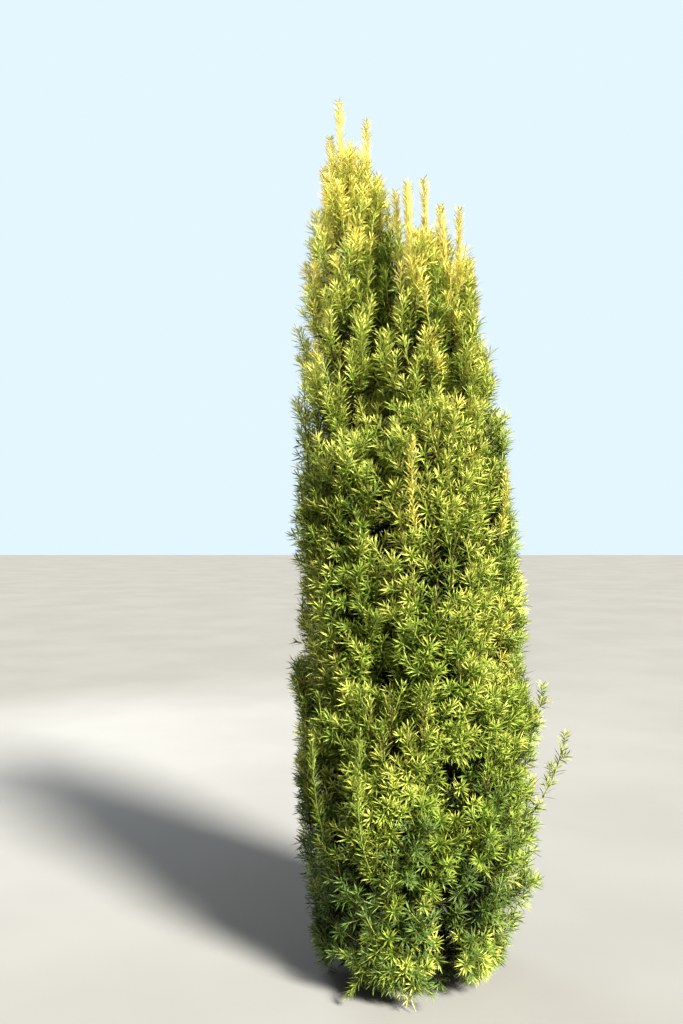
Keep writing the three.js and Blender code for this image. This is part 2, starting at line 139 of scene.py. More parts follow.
# Where the trunk's head draws in, as shares of its height
TRUNK_TOP = {"from": 0.8, "over": 0.2}

# Growth rule: every branchlet has a number, and its own draws from the seeded hash below
BRANCHLETS = 40
GOLDEN_SHARE = 0.618034
GOLDEN_DEGREES = 137.508
GOLDEN_ANGLE = math.radians(GOLDEN_DEGREES)
ROOT_SHARES = (0.02, 0.9)
OUT_PLAY = 20
SHORTEST_REACH = 31
REACH_STEP = 8
LONGEST_REACH = 210
REACH_SHARES = (0.93, 1.01)
HANGING_SHARE = 0.3
SPREAD = {"skirt": 100, "waist": 105, "plume": 150}
PLUME_TIP = {"radius": 25, "slope": 0.24}
RISE = {"least": 110, "most": 170, "hang": -60}
BEND = {"out": 1.06, "up": 0.06}
SPACE_GAP = 7
GROUND_GAP = 4
OVER_TIP = 40
# How many points a grown line has, and which is the middle one
LINE_POINTS = 9
HALFWAY = 4
SHOOT_POINTS = 3
STRAY_POINTS = 12
# Half of the stretch of a line that gives its heading, and from where a heading counts as steep
HEADING_STEP = 0.05
STEEP = 0.9

# Seeds: each mass has a thousand, shared out among the kinds of growth on it. Leaders and loose
# shoots take theirs in steps of their own.
MASS_SEEDS = 1000
FIRST_SEED = {"branchlet": 0, "inward": 400, "young_leader": 600, "inner": 700, "limb": 800,
              "foot": 850, "collar": 900, "seam": 950}
OLD_WOOD_SEED = 500
SHOOT_SEEDS = 100
TUFT_SEEDS = 10
LEADER_SEEDS = 50
STRAY_SEEDS = 60
SPRIG_SEEDS = 70
# The draws that go with a seed, beyond the first three
DRAWS = {"kin": 8, "tint": 9, "lime": 10, "crease": 11, "shoots": 20, "needles": 30, "tufts": 40}

# The finer twigs: how much of its reach a branchlet's line takes, how far out a shoot may end,
# where the last one starts, how the crown's surface swells and sinks, and how deep the shoots of
# two masses cross
AXIS_SHARE = 0.84
SHOOT_EDGE = 0.98
LAST_SHOOT = 0.95
BULGE = {"share": 0.06, "heights": (61, 43), "start": 2.1}
INTERLEAVE = -52
# Leaders stand clear above the other shoots, and their last needles reach the tip
LEADER_CLEAR = 135
LEADER_TUFT = 20
LEADER_BEND = {"across": 0.72, "up": 0.4}
# Branchlets at the foot of each mass: how many, how far they spread and how high they rise
COLLARS = {
    "skirt": {"count": 18, "spread": 46, "rise": (-46, -16)},
    "waist": {"count": 18, "spread": 100, "rise": (-40, 80)},
    "plume": {"count": 12, "spread": 120, "rise": (-10, 90)},
}
COLLAR_ROOT = {"share": 0.02, "away": 20}
COLLAR_EDGE = 1.02
# Branchlets round the tip of a ring's mass that lean back to the plumes behind it
INWARD = {"count": {"skirt": 4, "waist": 8}, "spread": 75, "from": (0.66, 1.0), "reach": (60, 110)}
# Side shoots: the place of the first, the gap to the next, their length, how far they open from
# the branchlet, and how much they turn outwards and up
SHOOTS = {
    "skirt": {"first": 0.22, "gap": 14, "length": (44, 84), "open": 54, "out": 0.75, "up": 0.1},
    "waist": {"first": 0.22, "gap": 14, "length": (44, 84), "open": 50, "out": 0.7, "up": 0.2},
    "plume": {"first": 0.2, "gap": 15, "length": (50, 96), "open": 34, "out": 0.3, "up": 0.9},
}
SHORTENINGS = [1, 0.75, 0.55]
SHOOT_LIFT = 0.16
SHOOT_BEND = 0.55
# Sprays inside, whose dark tints are painted shade, close the seams between the masses: round
# the stems, along the limbs, at the foot of the trunk and to both sides of the rings' masses
INNER = {"count": 56, "roots": (0.02, 0.86), "turn": 30, "length": (80, 160), "edge": 0.82,
         "cross": -80, "up": 0.6}
LIMB_SPRAYS = {"gap": 14.5, "from_height": 30, "length": (70, 140), "hang_below": 160,
               "hang": -0.3}
FOOT_SPRAYS = {"count": 10, "spread": 24, "height": (36, 230), "length": (100, 190), "up": 0.05}
SEAM_SPRAYS = {"count": 12, "beside": 72, "from": (0.25, 0.85), "length": (120, 160)}
UNDER_TIP = {"skirt": 10, "waist": 10, "plume": 165}
# Young leaders round each plume, below its tip
YOUNG_LEADERS = {"count": 8, "turn": 40, "drop": (110, 460), "away": (24, 66),
                 "length": (120, 190)}
# Twigs: the radius at the foot and at the tip, and the skin
TWIGS = {
    "stem": (4.5, 1.6, "brown"),
    "leader": (3.4, 1.5, "young"),
    "stray": (2.6, 1.5, "young"),
    "branchlet": (2.4, 1.2, "brown"),
    "inner": (2.0, 1.2, "brown"),
    "sprig": (1.6, 0.9, "young"),
    "side": (1.3, 0.8, "young"),
}
TWIG_SIDES = 3

# Needles: spacing along the shoot, length, width, lean from the shoot at its foot and its tip,
# how late the lean turns from one to the other, bow, the most that one is rolled on its length,
# and how long the last ones are
NEEDLES = {
    "side": {"gap": 1.6, "length": 31, "width": 2.8, "lean": (74, 34), "late": 1.4, "bow": 0.08,
             "roll": 0.7, "last": 0.6},
    "axis": {"gap": 2.4, "length": 31, "width": 2.7, "lean": (66, 34), "late": 1.4, "bow": 0.08,
             "roll": 0.4, "last": 0.6},
    "inner": {"gap": 4.1, "length": 35, "width": 5.4, "lean": (80, 60), "late": 1.4, "bow": 0.1,
              "roll": 0.9, "last": 0.8},
    "leader": {"gap": 0.95, "length": 26, "width": 3.0, "lean": (30, 66), "late": 6, "bow": 0.02,
               "roll": 1.25, "last": 0.66},
    "stray": {"gap": 4, "length": 30, "width": 4.4, "lean": (68, 52), "late": 1.4, "bow": 0.05,
              "roll": 0.7, "last": 0.8},
    "tuft": {"gap": 1.2, "length": 25, "width": 3.6, "lean": (70, 40), "late": 1.4, "bow": 0.06,
             "roll": 0.7, "last": 0.7},
    "sprig": {"gap": 1.5, "length": 27, "width": 2.8, "lean": (66, 34), "late": 1.4, "bow": 0.05,
              "roll": 0.6, "last": 0.6},
}
NEEDLE_FOOT_WIDTH = 0.4
NEEDLE_SHOULDER = 0.58
FEWEST_NEEDLES = 4
# What varies from needle to needle, as turns in radians, a lean in degrees and a share of the
# length, and the first of the draws that each of these takes
NEEDLE_PLAY = {"start": 6.28, "turn": 0.7, "lean": 16, "length": 0.28}
NEEDLE_DRAWS = {"turn": 100, "lean": 400, "roll": 700, "length": 1000, "tone": 1300}
NEEDLE_LIFT = 0.12
LEAST_LENGTH = 0.86
# A shoot's needles are shorter at its foot, and again from here on towards its tip
FIRST_NEEDLES = {"length": 0.72, "until": 0.3}
LAST_NEEDLES_FROM = 0.82
# No needle comes nearer to the ground than this
LOWEST_NEEDLE = 2

# The darker tint of the needles at a spray's foot, by the spray's own tint, and the share that
# takes it: partly the needles' real age, partly painted shade at the spray's shaded foot
OLDER_AND_SHADED = {
    "amber": "gold",
    "gold": "lime",
    "lime": "fresh",
    "fresh": "leaf",
    "leaf": "deep",
    "deep": "deep",
    "cool": "leaf",
}
OLD_AND_SHADED_SHARE = 0.38
# The share of sprays that take their branchlet's draws
KIN_SHARE = 0.7
# From this height up, the sprays inside take a dark green painted shade, not a near-black one
BRIGHT_FROM = 1560
ZONES = {"skirt": "low", "waist": "middle", "plume": "top"}
# Where the tints lie: in patches that drift round the crown, with gold towards the top, cool
# green at the foot, partly its own tint and partly painted shade dealt most on its shaded side,
# and less lime on the right, a painted shade where the key light falls most
PATCHES = {"depth": 0.25, "heights": (170, 95), "start": 1.7}
GOLD = {"least": 0.01, "patches": 0.03, "top": 0.75, "between": (1350, 2000)}
COOL = {"between": (-600, -230), "turn": 0.35, "lit": 0.34, "shaded": 0.95}
LIME = {"least": 0.26, "patches": 0.5, "top": 0.45, "between": (1150, 1600), "right": 0.5,
        "right_from": 0.5}

UP = np.array([0.0, 0.0, 1.0])
SEED_FACTOR = np.uint64(1013)
DRAW_FACTOR = np.uint64(7919)
HASH_START = np.uint64(17)
HASH_FACTORS = [np.uint64(factor) for factor in (2654435761, 2246822519, 3266489917)]
HASH_SHIFTS = [np.uint64(shift) for shift in (15, 13, 16)]
HASH_MASK = np.uint64(0xFFFFFFFF)
HASH_RANGE = 4294967296.0


# A number from 0 to 1 that depends only on the seed and the draw's number
def chance(seed, draw):
    h = np.asarray(seed, np.uint64) * SEED_FACTOR + np.asarray(draw, np.uint64) * DRAW_FACTOR
    h = ((h + HASH_START) & HASH_MASK) * HASH_FACTORS[0] & HASH_MASK
    h = (h ^ (h >> HASH_SHIFTS[0])) * HASH_FACTORS[1] & HASH_MASK
    h = (h ^ (h >> HASH_SHIFTS[1])) * HASH_FACTORS[2] & HASH_MASK
    return (h ^ (h >> HASH_SHIFTS[2])) / HASH_RANGE


# The seed of one shoot, by its number among those of its kind on a mass
def seed_of(mass, growth, number):
    return mass["seed"] * MASS_SEEDS + FIRST_SEED[growth] + number


# Sides dealt out evenly, from -1 to 1
def hand_of(number):
    return 2 * ((number * GOLDEN_SHARE) % 1) - 1


def lerp(low, high, share):
    return low + (high - low) * share


def unit(vectors):
    length = np.linalg.norm(vectors, axis=-1, keepdims=True)
    return vectors / np.maximum(length, 1e-9)


def smooth_step(value, low, high):
    t = np.clip((value - low) / (high - low), 0, 1)
    return t * t * (3 - 2 * t)


# The crown and the spaces in it, by the source's rule
def crown_at(z):
    return np.interp(z, CROWN_HEIGHTS, CROWN_MIDDLES), np.interp(z, CROWN_HEIGHTS, CROWN_RADII)


def heart_radius(z):
    still_open = 1 - np.clip((z - HEART["top"]) / (HEART["closed"] - HEART["top"]), 0, 1)
    round_trunk = HEART["foot"] * (1 - np.clip(z / HEART["waist"] - 0.5, 0, 1))
    return np.maximum(HEART["share"] * crown_at(z)[1] * still_open, round_trunk)


def facing(bearing):
    turn = math.radians(bearing)
    return np.array([math.sin(turn), -math.cos(turn), 0.0])


def crown_point(bearing, share, z):
    middle, radius = crown_at(z)
    return np.array([middle, 0, z]) + facing(bearing) * share * radius


def ring_masses():
    masses = []
    for ring in RINGS:
        for i in range(RING_COUNT):
            bearing = ring["bearing"] + i * 360 / RING_COUNT
            lift = (chance(len(masses), 0) - 0.5) * 2 * TIP_STAGGER
            masses.append({
                "name": f"{ring['name']}_{i + 1}",
                "kind": ring["name"],
                "bearing": bearing,
                "foot": crown_point(bearing, *ring["foot"]),
                "tip": crown_point(bearing, ring["tip"][0], ring["tip"][1] + lift),
            })
    return masses


def plume_masses():
    masses = []
    below, radius = crown_at(PLUME_FOOT["z"])
    for name, tip in PLUMES.items():
        dx = tip[0] - crown_at(PLUME_FOOT["level"])[0]
        dy = tip[1]
        away = math.hypot(dx, dy)
        outward = min(max(away / PLUME_FOOT["full"], PLUME_FOOT["least"]), 1)
        r = PLUME_FOOT["share"] * outward * radius / away
        masses.append({
            "name": f"plume_{name}",
            "kind": "plume",
            "bearing": math.degrees(math.atan2(dx, -dy)),
            "foot": np.array([below + dx * r, dy * r, PLUME_FOOT["z"]]),
            "tip": np.array(tip, float),
        })
    return masses


MASSES = ring_masses() + plume_masses()
for order, mass in enumerate(MASSES):
    mass["seed"] = order + 1
FEET = np.array([mass["foot"] for mass in MASSES])
STEMS = np.array([mass["tip"] for mass in MASSES]) - FEET


def stem_point(mass, share):
    return mass["foot"] + (mass["tip"] - mass["foot"]) * share


# How far each point lies from the stem of every mass
def stem_distances(points):
    away = points[:, None, :] - FEET
    share = np.clip((away * STEMS).sum(2) / (STEMS * STEMS).sum(1), 0, 1)
    return np.linalg.norm(away - share[..., None] * STEMS, axis=2)


def in_space(mass, points, share, gap):
    z = points[:, 2]
    middle, radius = crown_at(z)
    across = np.hypot(points[:, 0] - middle, points[:, 1])
    distances = stem_distances(points)
    own = distances[:, mass["seed"] - 1]
    others = np.delete(distances, mass["seed"] - 1, axis=1).min(1)
    inside = (z > GROUND_GAP) & (z < mass["tip"][2] + OVER_TIP)
    inside &= (across < radius * share) & (across > heart_radius(z)) & (others > own + gap)
    inside &= points[:, 0] > middle - radius * share + np.interp(z, TRIM_HEIGHTS, TRIM_LEFT)
    inside &= points[:, 0] < middle + radius * share - np.interp(z, TRIM_HEIGHTS, TRIM_RIGHT)
    if mass["kind"] == "plume":
        room = PLUME_TIP["radius"] + PLUME_TIP["slope"] * np.maximum(mass["tip"][2] - z, 0)
        inside &= own < room * share
    return inside


def reach_along(mass, start, out, share):
    steps = REACH_STEP * np.arange(1, LONGEST_REACH // REACH_STEP + 2)
    inside = in_space(mass, start + steps[:, None] * out, share, SPACE_GAP)
    return REACH_STEP * (len(steps) if inside.all() else int(np.argmin(inside)))


def branchlet_of(mass, number):
    seed = seed_of(mass, "branchlet", number)
    along = (number + 0.5) / BRANCHLETS
    aside = hand_of(number) * SPREAD[mass["kind"]]
    out = facing(mass["bearing"] + aside + (chance(seed, 1) - 0.5) * OUT_PLAY)
    level = min(along / HANGING_SHARE, 1) if mass["kind"] == "skirt" else 1
    root = stem_point(mass, lerp(*ROOT_SHARES, along))
    rise = lerp(RISE["hang"], lerp(RISE["least"], RISE["most"], chance(seed, 2)), level)
    whole = reach_along(mass, root + UP * rise, out, 1)
    reach = whole * lerp(*REACH_SHARES, chance(seed, 3))
    return {"seed": seed, "root": root, "out": out, "rise": rise, "reach": reach}


# Lines: each is an array of points from root to tip
def bezier(root, bend, tip, count):
    t = np.linspace(0, 1, count)[:, None]
    return (1 - t) ** 2 * root + 2 * t * (1 - t) * bend + t * t * tip


# The crown's surface swells and sinks a little from place to place
def bulge_at(point):
    turn = math.atan2(point[0], -point[1])
    broad, fine = BULGE["heights"]
    wave = math.sin(3 * turn + point[2] / broad)
    wave += math.sin(5 * turn - point[2] / fine + BULGE["start"])
    return 1 + BULGE["share"] * 0.5 * wave


def branchlet_line(branchlet):
    reach = branchlet["reach"] * AXIS_SHARE
    reach *= bulge_at(branchlet["root"] + branchlet["out"] * reach)
    root = branchlet["root"]
    bend = root + branchlet["out"] * reach * BEND["out"] + UP * branchlet["rise"] * BEND["up"]
    tip = root + branchlet["out"] * reach + UP * branchlet["rise"]
    return bezier(root, bend, tip, LINE_POINTS)


def line_length(line):
    return np.linalg.norm(np.diff(line, axis=0), axis=1).sum()


# Points at shares of a line's length, and the line's heading there
def along_line(line, shares):
    arc = np.concatenate([[0], np.cumsum(np.linalg.norm(np.diff(line, axis=0), axis=1))])
    arc = arc / arc[-1]

    def at(share):
        return np.stack([np.interp(share, arc, line[:, k]) for k in range(3)], axis=-1)

    ahead = at(np.minimum(shares + HEADING_STEP, 1))
    behind = at(np.maximum(shares - HEADING_STEP, 0))
    return at(shares), unit(ahead - behind)


# Two directions square to each heading
def square_to(heading):
    helper = np.where(np.abs(heading[..., 2:]) > STEEP, [1.0, 0.0, 0.0], [0.0, 0.0, 1.0])
    side = unit(np.cross(heading, helper))
    return side, np.cross(side, heading)


def in_crease(point):
    x, y, z = point
    return abs(x - CREASE["x"]) < CREASE["half"] and y < 0 and CREASE["bottom"] < z < CREASE["top"]


# How strongly a place lies in one of the light patches
def patch_at(turn, z):
    broad, fine = PATCHES["heights"]
    wave = 0.5 + PATCHES["depth"] * math.sin(2 * turn + z / broad)
    return wave + PATCHES["depth"] * math.sin(z / fine - 3 * turn + PATCHES["start"])


# The tint of a spray. Most sprays of one branchlet share its draws.
def tint_of(point, branchlet_seed, seed):
    # Painted shade: most sprays in the crease take the dark leaf tint
    if in_crease(point):
        return "leaf" if chance(seed, DRAWS["crease"]) < CREASE["dark"] else "fresh"
    x, y, z = point
    turn = math.atan2(x, -y)
    patch = patch_at(turn, z)
    gold = GOLD["least"] + GOLD["patches"] * patch * patch
    gold += GOLD["top"] * smooth_step(z, *GOLD["between"])
    # Painted shade: the cool blue-green is dealt most on the side away from the key light
    shaded = 0.5 - 0.5 * math.sin(turn + COOL["turn"])
    cool = smooth_step(-z, *COOL["between"]) * lerp(COOL["lit"], COOL["shaded"], shaded)
    kin = branchlet_seed if chance(seed, DRAWS["kin"]) < KIN_SHARE else seed
    draw = chance(kin, DRAWS["tint"])
    if draw < gold * (1 - cool):
        return "gold"
    if draw > 1 - cool:
        return "cool"
    lime = LIME["least"] + LIME["patches"] * patch + LIME["top"] * smooth_step(z, *LIME["between"])
    # Painted shade: less lime on the right, where the key light falls most
    lime -= LIME["right"] * max(math.sin(turn) - LIME["right_from"], 0)
    return "lime" if chance(kin, DRAWS["lime"]) < lime else "fresh"


# What has grown: sprays of needles and the twigs that carry them
sprays = []
twigs = []


def add_spray(mass, line, form, tint, seed, start):
    sprays.append({"zone": ZONES[mass["kind"]], "line": line, "form": form, "tint": tint,
                   "seed": seed, "start": start})


def add_twig(mass, line, kind):
    thick, thin, skin = TWIGS[kind]
    twigs.append({"zone": ZONES[mass["kind"]], "line": line, "thick": thick, "thin": thin,
                  "skin": skin})


def shoot_line(root, direction, length):
    bend = root + direction * length * SHOOT_BEND
    tip = root + direction * length + UP * length * SHOOT_LIFT
    return bezier(root, bend, tip, SHOOT_POINTS)


# Leaders stand clear of the shoots round them
def below_leader(mass, line):
    return mass["kind"] != "plume" or line[-1, 2] < mass["tip"][2] - LEADER_CLEAR


def has_room(mass, shoot):
    tip = shoot[-1]
    if in_crease(tip) and tip[1] < CREASE["open"]:
        return False
    edge = SHOOT_EDGE * bulge_at(tip)
    return below_leader(mass, shoot) and in_space(mass, shoot[-2:], edge, INTERLEAVE).all()


# A side shoot opens from its branchlet, then turns outwards and up
def shoot_direction(form, root, heading, away):
    open_angle = math.radians(form["open"])
    outward = unit((root - [crown_at(root[2])[0], 0, 0]) * [1, 1, 0])
    direction = heading * math.cos(open_angle) + away * math.sin(open_angle)
    return unit(direction + outward * form["out"] + UP * form["up"])


def grow_side_shoots(mass, line, seed):
    form = SHOOTS[mass["kind"]]
    count = max(int(line_length(line) * (1 - form["first"]) / form["gap"]), 1)
    roots, headings = along_line(line, np.linspace(form["first"], LAST_SHOOT, count))
    sides, overs = square_to(headings)
    for i in range(count):
        own = seed * SHOOT_SEEDS + i
        turn = i * GOLDEN_ANGLE + chance(seed, DRAWS["shoots"]) * 2 * math.pi
        away = sides[i] * math.cos(turn) + overs[i] * math.sin(turn)
        direction = shoot_direction(form, roots[i], headings[i], away)
        length = lerp(*form["length"], chance(own, 1))
        for shortening in SHORTENINGS:
            shoot = shoot_line(roots[i], direction, length * shortening)
            if has_room(mass, shoot):
                add_spray(mass, shoot, "side", tint_of(shoot[-1], seed, own), own, start=0.2)
                add_twig(mass, shoot, "side")
                break


# Sprays inside take a near-black painted shade, and a dark green one among the open plumes
def inner_tint(line):
    return "leaf" if line[0, 2] > BRIGHT_FROM else "deep"


def grow_branchlet(mass, line, seed):
    add_twig(mass, line, "branchlet")
    old_wood = line[:HALFWAY + 1]
    add_spray(mass, old_wood, "inner", inner_tint(line), seed + OLD_WOOD_SEED, start=0.15)
    add_spray(mass, line, "axis", tint_of(line[-1], seed, seed), seed, start=0.4)
    grow_side_shoots(mass, line, seed)


def well_within(tip):
    middle, radius = crown_at(tip[2])
    return math.hypot(tip[0] - middle, tip[1]) < radius * INNER["edge"]


def hidden_inside(mass, line):
    tip = line[-1]
    inside = well_within(tip) and tip[2] < mass["tip"][2] - UNDER_TIP[mass["kind"]]
    if mass["kind"] == "plume":
        return inside and in_space(mass, tip[None], INNER["edge"], INNER["cross"]).all()
    return inside


def add_inner(mass, line, tint, seed):
    add_twig(mass, line, "inner")
    add_spray(mass, line, "inner", tint, seed, start=0.1)


# Turned on from the one before by the golden angle, with some play
def round_the_stem(number, seed):
    return facing(number * GOLDEN_DEGREES + chance(seed, 1) * INNER["turn"])


def grow_inner(mass):
    for number in range(INNER["count"]):
        seed = seed_of(mass, "inner", number)
        root = stem_point(mass, lerp(*INNER["roots"], (number + 0.5) / INNER["count"]))
        length = lerp(*INNER["length"], chance(seed, 2))
        line = shoot_line(root, unit(round_the_stem(number, seed) + UP * INNER["up"]), length)
        if hidden_inside(mass, line):
            add_inner(mass, line, inner_tint(line), seed)


# Along the limb that rises through the bare heart
def grow_on_limb(mass):
    limb = bough_line(mass)
    count = int(line_length(limb) / LIMB_SPRAYS["gap"])
    roots = along_line(limb, (np.arange(count) + 0.5) / count)[0]
    for number, root in enumerate(roots):
        seed = seed_of(mass, "limb", number)
        length = lerp(*LIMB_SPRAYS["length"], chance(seed, 2))
        hangs = number % 2 and root[2] < LIMB_SPRAYS["hang_below"]
        rise = LIMB_SPRAYS["hang"] if hangs else INNER["up"]
        line = shoot_line(root, unit(round_the_stem(number, seed) + UP * rise), length)
        if root[2] > LIMB_SPRAYS["from_height"] and well_within(line[-1]):
            add_inner(mass, line, inner_tint(line), seed)


# On the trunk, under the masses of the waist, where the skirt's masses leave gaps
def grow_at_foot(mass):
    if mass["kind"] != "waist":
        return
    for number in range(FOOT_SPRAYS["count"]):
        seed = seed_of(mass, "foot", number)
        out = facing(mass["bearing"] + hand_of(number) * FOOT_SPRAYS["spread"])
        height = lerp(*FOOT_SPRAYS["height"], number / FOOT_SPRAYS["count"])
        root = out * TRUNK["head"] + UP * height
        length = lerp(*FOOT_SPRAYS["length"], chance(seed, 2))
        line = shoot_line(root, unit(out + UP * FOOT_SPRAYS["up"]), length)
        if well_within(line[-1]):
            add_inner(mass, line, inner_tint(line), seed)


# To both sides, where the masses of a ring meet
def grow_in_seams(mass):
    if mass["kind"] == "plume":
        return
    for number in range(SEAM_SPRAYS["count"]):
        seed = seed_of(mass, "seam", number)
        hand = 1 if number % 2 else -1
        out = facing(mass["bearing"] + hand * SEAM_SPRAYS["beside"])
        root = stem_point(mass, lerp(*SEAM_SPRAYS["from"], number / SEAM_SPRAYS["count"]))
        length = lerp(*SEAM_SPRAYS["length"], chance(seed, 2))
        # Painted shade: the sprays in the seams take the dark leaf tint
        add_inner(mass, shoot_line(root, unit(out + UP * INNER["up"]), length), "leaf", seed)


# The lowest branchlets of a mass: the skirt's hang to the soil
def grow_collar(mass):
    collar = COLLARS[mass["kind"]]
    for number in range(collar["count"]):
        seed = seed_of(mass, "collar", number)
        out = facing(mass["bearing"] + hand_of(number) * collar["spread"])
        root = stem_point(mass, COLLAR_ROOT["share"]) + out * COLLAR_ROOT["away"]
        rise = lerp(*collar["rise"], chance(seed, 2))
        reach = reach_along(mass, root + UP * rise, out, COLLAR_EDGE)
        if reach > SHORTEST_REACH:
            branchlet = {"root": root, "out": out, "rise": rise, "reach": reach}
            grow_branchlet(mass, branchlet_line(branchlet), seed)


def grow_inward(mass):
    if mass["kind"] == "plume":
        return
    count = INWARD["count"][mass["kind"]]
    for number in range(count):
        seed = seed_of(mass, "inward", number)
        out = facing(mass["bearing"] + 180 + hand_of(number) * INWARD["spread"])
        root = stem_point(mass, lerp(*INWARD["from"], number / count))
        reach = lerp(*INWARD["reach"], chance(seed, 1))
        branchlet = {"root": root, "out": out, "rise": RISE["least"], "reach": reach}
        grow_branchlet(mass, branchlet_line(branchlet), seed)


def grow_branchlets(mass):
    for number in range(BRANCHLETS):
        branchlet = branchlet_of(mass, number)
        line = branchlet_line(branchlet)
        if branchlet["reach"] > SHORTEST_REACH and below_leader(mass, line):
            grow_branchlet(mass, line, branchlet["seed"])


# The last needles of a leader reach its tip, so its shoot ends below
def grow_leader(mass, line, seed, start):
    line = along_line(line, np.linspace(0, 1 - LEADER_TUFT / line_length(line), len(line)))[0]
    add_twig(mass, line, "leader")
    add_spray(mass, line, "leader", "amber", seed, start)


# A leader leaves its stem outwards and soon turns up
def leader_line(root, tip):
    bend = lerp(root, tip, LEADER_BEND["across"])
    bend[2] = lerp(root[2], tip[2], LEADER_BEND["up"])
    return bezier(root, bend, tip, LINE_POINTS)


def grow_young_leaders(mass):
    height = mass["tip"][2] - mass["foot"][2]
    for number in range(YOUNG_LEADERS["count"]):
        seed = seed_of(mass, "young_leader", number)
        out = facing(number * GOLDEN_DEGREES + mass["seed"] * YOUNG_LEADERS["turn"])
        drop = lerp(*YOUNG_LEADERS["drop"], (number + chance(seed, 1)) / YOUNG_LEADERS["count"])
        away = lerp(*YOUNG_LEADERS["away"], (number + chance(seed, 2)) / YOUNG_LEADERS["count"])
        share = 1 - drop / height
        tip = stem_point(mass, share) + out * away
        length = lerp(*YOUNG_LEADERS["length"], chance(seed, 3))
        root = stem_point(mass, share - length / height)
        if in_space(mass, tip[None], SHOOT_EDGE, INTERLEAVE).all():
            grow_leader(mass, leader_line(root, tip), seed, start=0.3)


# The end of the stem is a leader on a plume, and a branchlet on the masses below
def grow_stem_end(mass):
    stem = np.array([stem_point(mass, share) for share in np.linspace(0, 1, LINE_POINTS)])
    if mass["kind"] == "plume":
        grow_leader(mass, stem[HALFWAY:], mass["seed"] * LEADER_SEEDS, start=0.35)
        grow_young_leaders(mass)
    else:
        tint = tint_of(stem[-1], mass["seed"], mass["seed"])
        add_twig(mass, stem[HALFWAY:], "stem")
        add_spray(mass, stem[HALFWAY:], "axis", tint, mass["seed"], start=0.5)


def grow_side_leaders(mass):
    for i, (name, at, tip) in enumerate(SIDE_LEADERS):
        if name == mass["name"]:
            line = leader_line(stem_point(mass, at), np.array(tip, float))
            grow_leader(mass, line, mass["seed"] * LEADER_SEEDS + i, start=0.3)


def line_through(root, through, tip):
    return bezier(root, 2 * np.array(through, float) - (root + tip) / 2, tip, STRAY_POINTS)


# Short shoots close together at the end of a stray
def grow_tufts(mass, line, seed):
    roots, headings = along_line(line, np.array(STRAY_TUFTS["at"]))
    sides, overs = square_to(headings)
    for i, root in enumerate(roots):
        turn = i * GOLDEN_ANGLE + chance(seed, DRAWS["tufts"])
        away = sides[i] * math.cos(turn) + overs[i] * math.sin(turn)
        beside = STRAY_TUFTS["open"] if STRAY_TUFTS["at"][i] < 1 else 0
        shoot = shoot_line(root, unit(headings[i] + away * beside), STRAY_TUFTS["length"])
        add_twig(mass, shoot, "side")
        add_spray(mass, shoot, "tuft", "lime", seed * TUFT_SEEDS + i, start=0)


def grow_strays(mass):
    for i, (name, at, through, tip) in enumerate(STRAYS):
        if name == mass["name"]:
            seed = mass["seed"] * STRAY_SEEDS + i
            line = line_through(stem_point(mass, at), through, tip)
            add_twig(mass, line, "stray")
            add_spray(mass, line, "stray", "fresh", seed, start=0.3)
            grow_tufts(mass, line, seed)


def grow_sprigs(mass):
    for i, (name, at, through, tip, tint) in enumerate(SPRIGS):
        if name == mass["name"]:
            line = line_through(stem_point(mass, at), through, tip)
            add_twig(mass, line, "sprig")
            add_spray(mass, line, "sprig", tint, mass["seed"] * SPRIG_SEEDS + i, start=0.04)


# A draw for each of a spray's needles
def needle_chance(spray, part, count):
    return chance(spray["seed"], NEEDLE_DRAWS[part] + np.arange(count))


# Where the needles point: round the shoot by the golden angle, leaning from it, and up a little
def needle_headings(spray, form, share, along):
    count = len(share)
    sides, overs = square_to(along)
    start = chance(spray["seed"], DRAWS["needles"]) * NEEDLE_PLAY["start"]
    turn = np.arange(count) * GOLDEN_ANGLE + start
    turn = turn + (needle_chance(spray, "turn", count) - 0.5) * NEEDLE_PLAY["turn"]
    away = sides * np.cos(turn)[:, None] + overs * np.sin(turn)[:, None]
    lean = lerp(form["lean"][0], form["lean"][1], share ** form["late"])
    lean = lean + (needle_chance(spray, "lean", count) - 0.5) * NEEDLE_PLAY["lean"]
    lean = np.radians(lean)[:, None]
    return unit(along * np.cos(lean) + away * np.sin(lean) + UP * NEEDLE_LIFT)


# Where their upper faces look: to the shoot's tip, rolled a little on the needle's own length
def needle_uppers(spray, form, along, heading):
    upper = unit(along - heading * (along * heading).sum(1, keepdims=True))
    roll = (needle_chance(spray, "roll", len(along)) * 2 - 1) * form["roll"]
    roll = roll[:, None]
    return unit(upper * np.cos(roll) + np.cross(heading, upper) * np.sin(roll))


def needle_lengths(spray, form, share):
    grown = lerp(FIRST_NEEDLES["length"], 1, smooth_step(share, 0, FIRST_NEEDLES["until"]))
    grown = grown * lerp(1, form["last"], smooth_step(share, LAST_NEEDLES_FROM, 1))
    play = NEEDLE_PLAY["length"] * needle_chance(spray, "length", len(share))
    return form["length"] * grown * (LEAST_LENGTH + play)


# Needles of one spray, each with its place, its size, its tone and whether it is an older one
# at the spray's foot, darker partly for its age and partly as painted shade
def needles_of(spray):
    form = NEEDLES[spray["form"]]
    start = spray["start"]
    count = max(int(line_length(spray["line"]) * (1 - start) / form["gap"]), FEWEST_NEEDLES)
    share = (np.arange(count) + 0.5) / count
    roots, along = along_line(spray["line"], start + (1 - start) * share)
    heading = needle_headings(spray, form, share, along)
    return {
        "root": roots,
        "heading": heading,
        "upper": needle_uppers(spray, form, along, heading),
        "length": needle_lengths(spray, form, share)[:, None],
        "width": np.full((count, 1), form["width"] / 2),
        "bow": np.full((count, 1), form["bow"]),
        "old": share < OLD_AND_SHADED_SHARE,
        "tone": needle_chance(spray, "tone", count),
    }


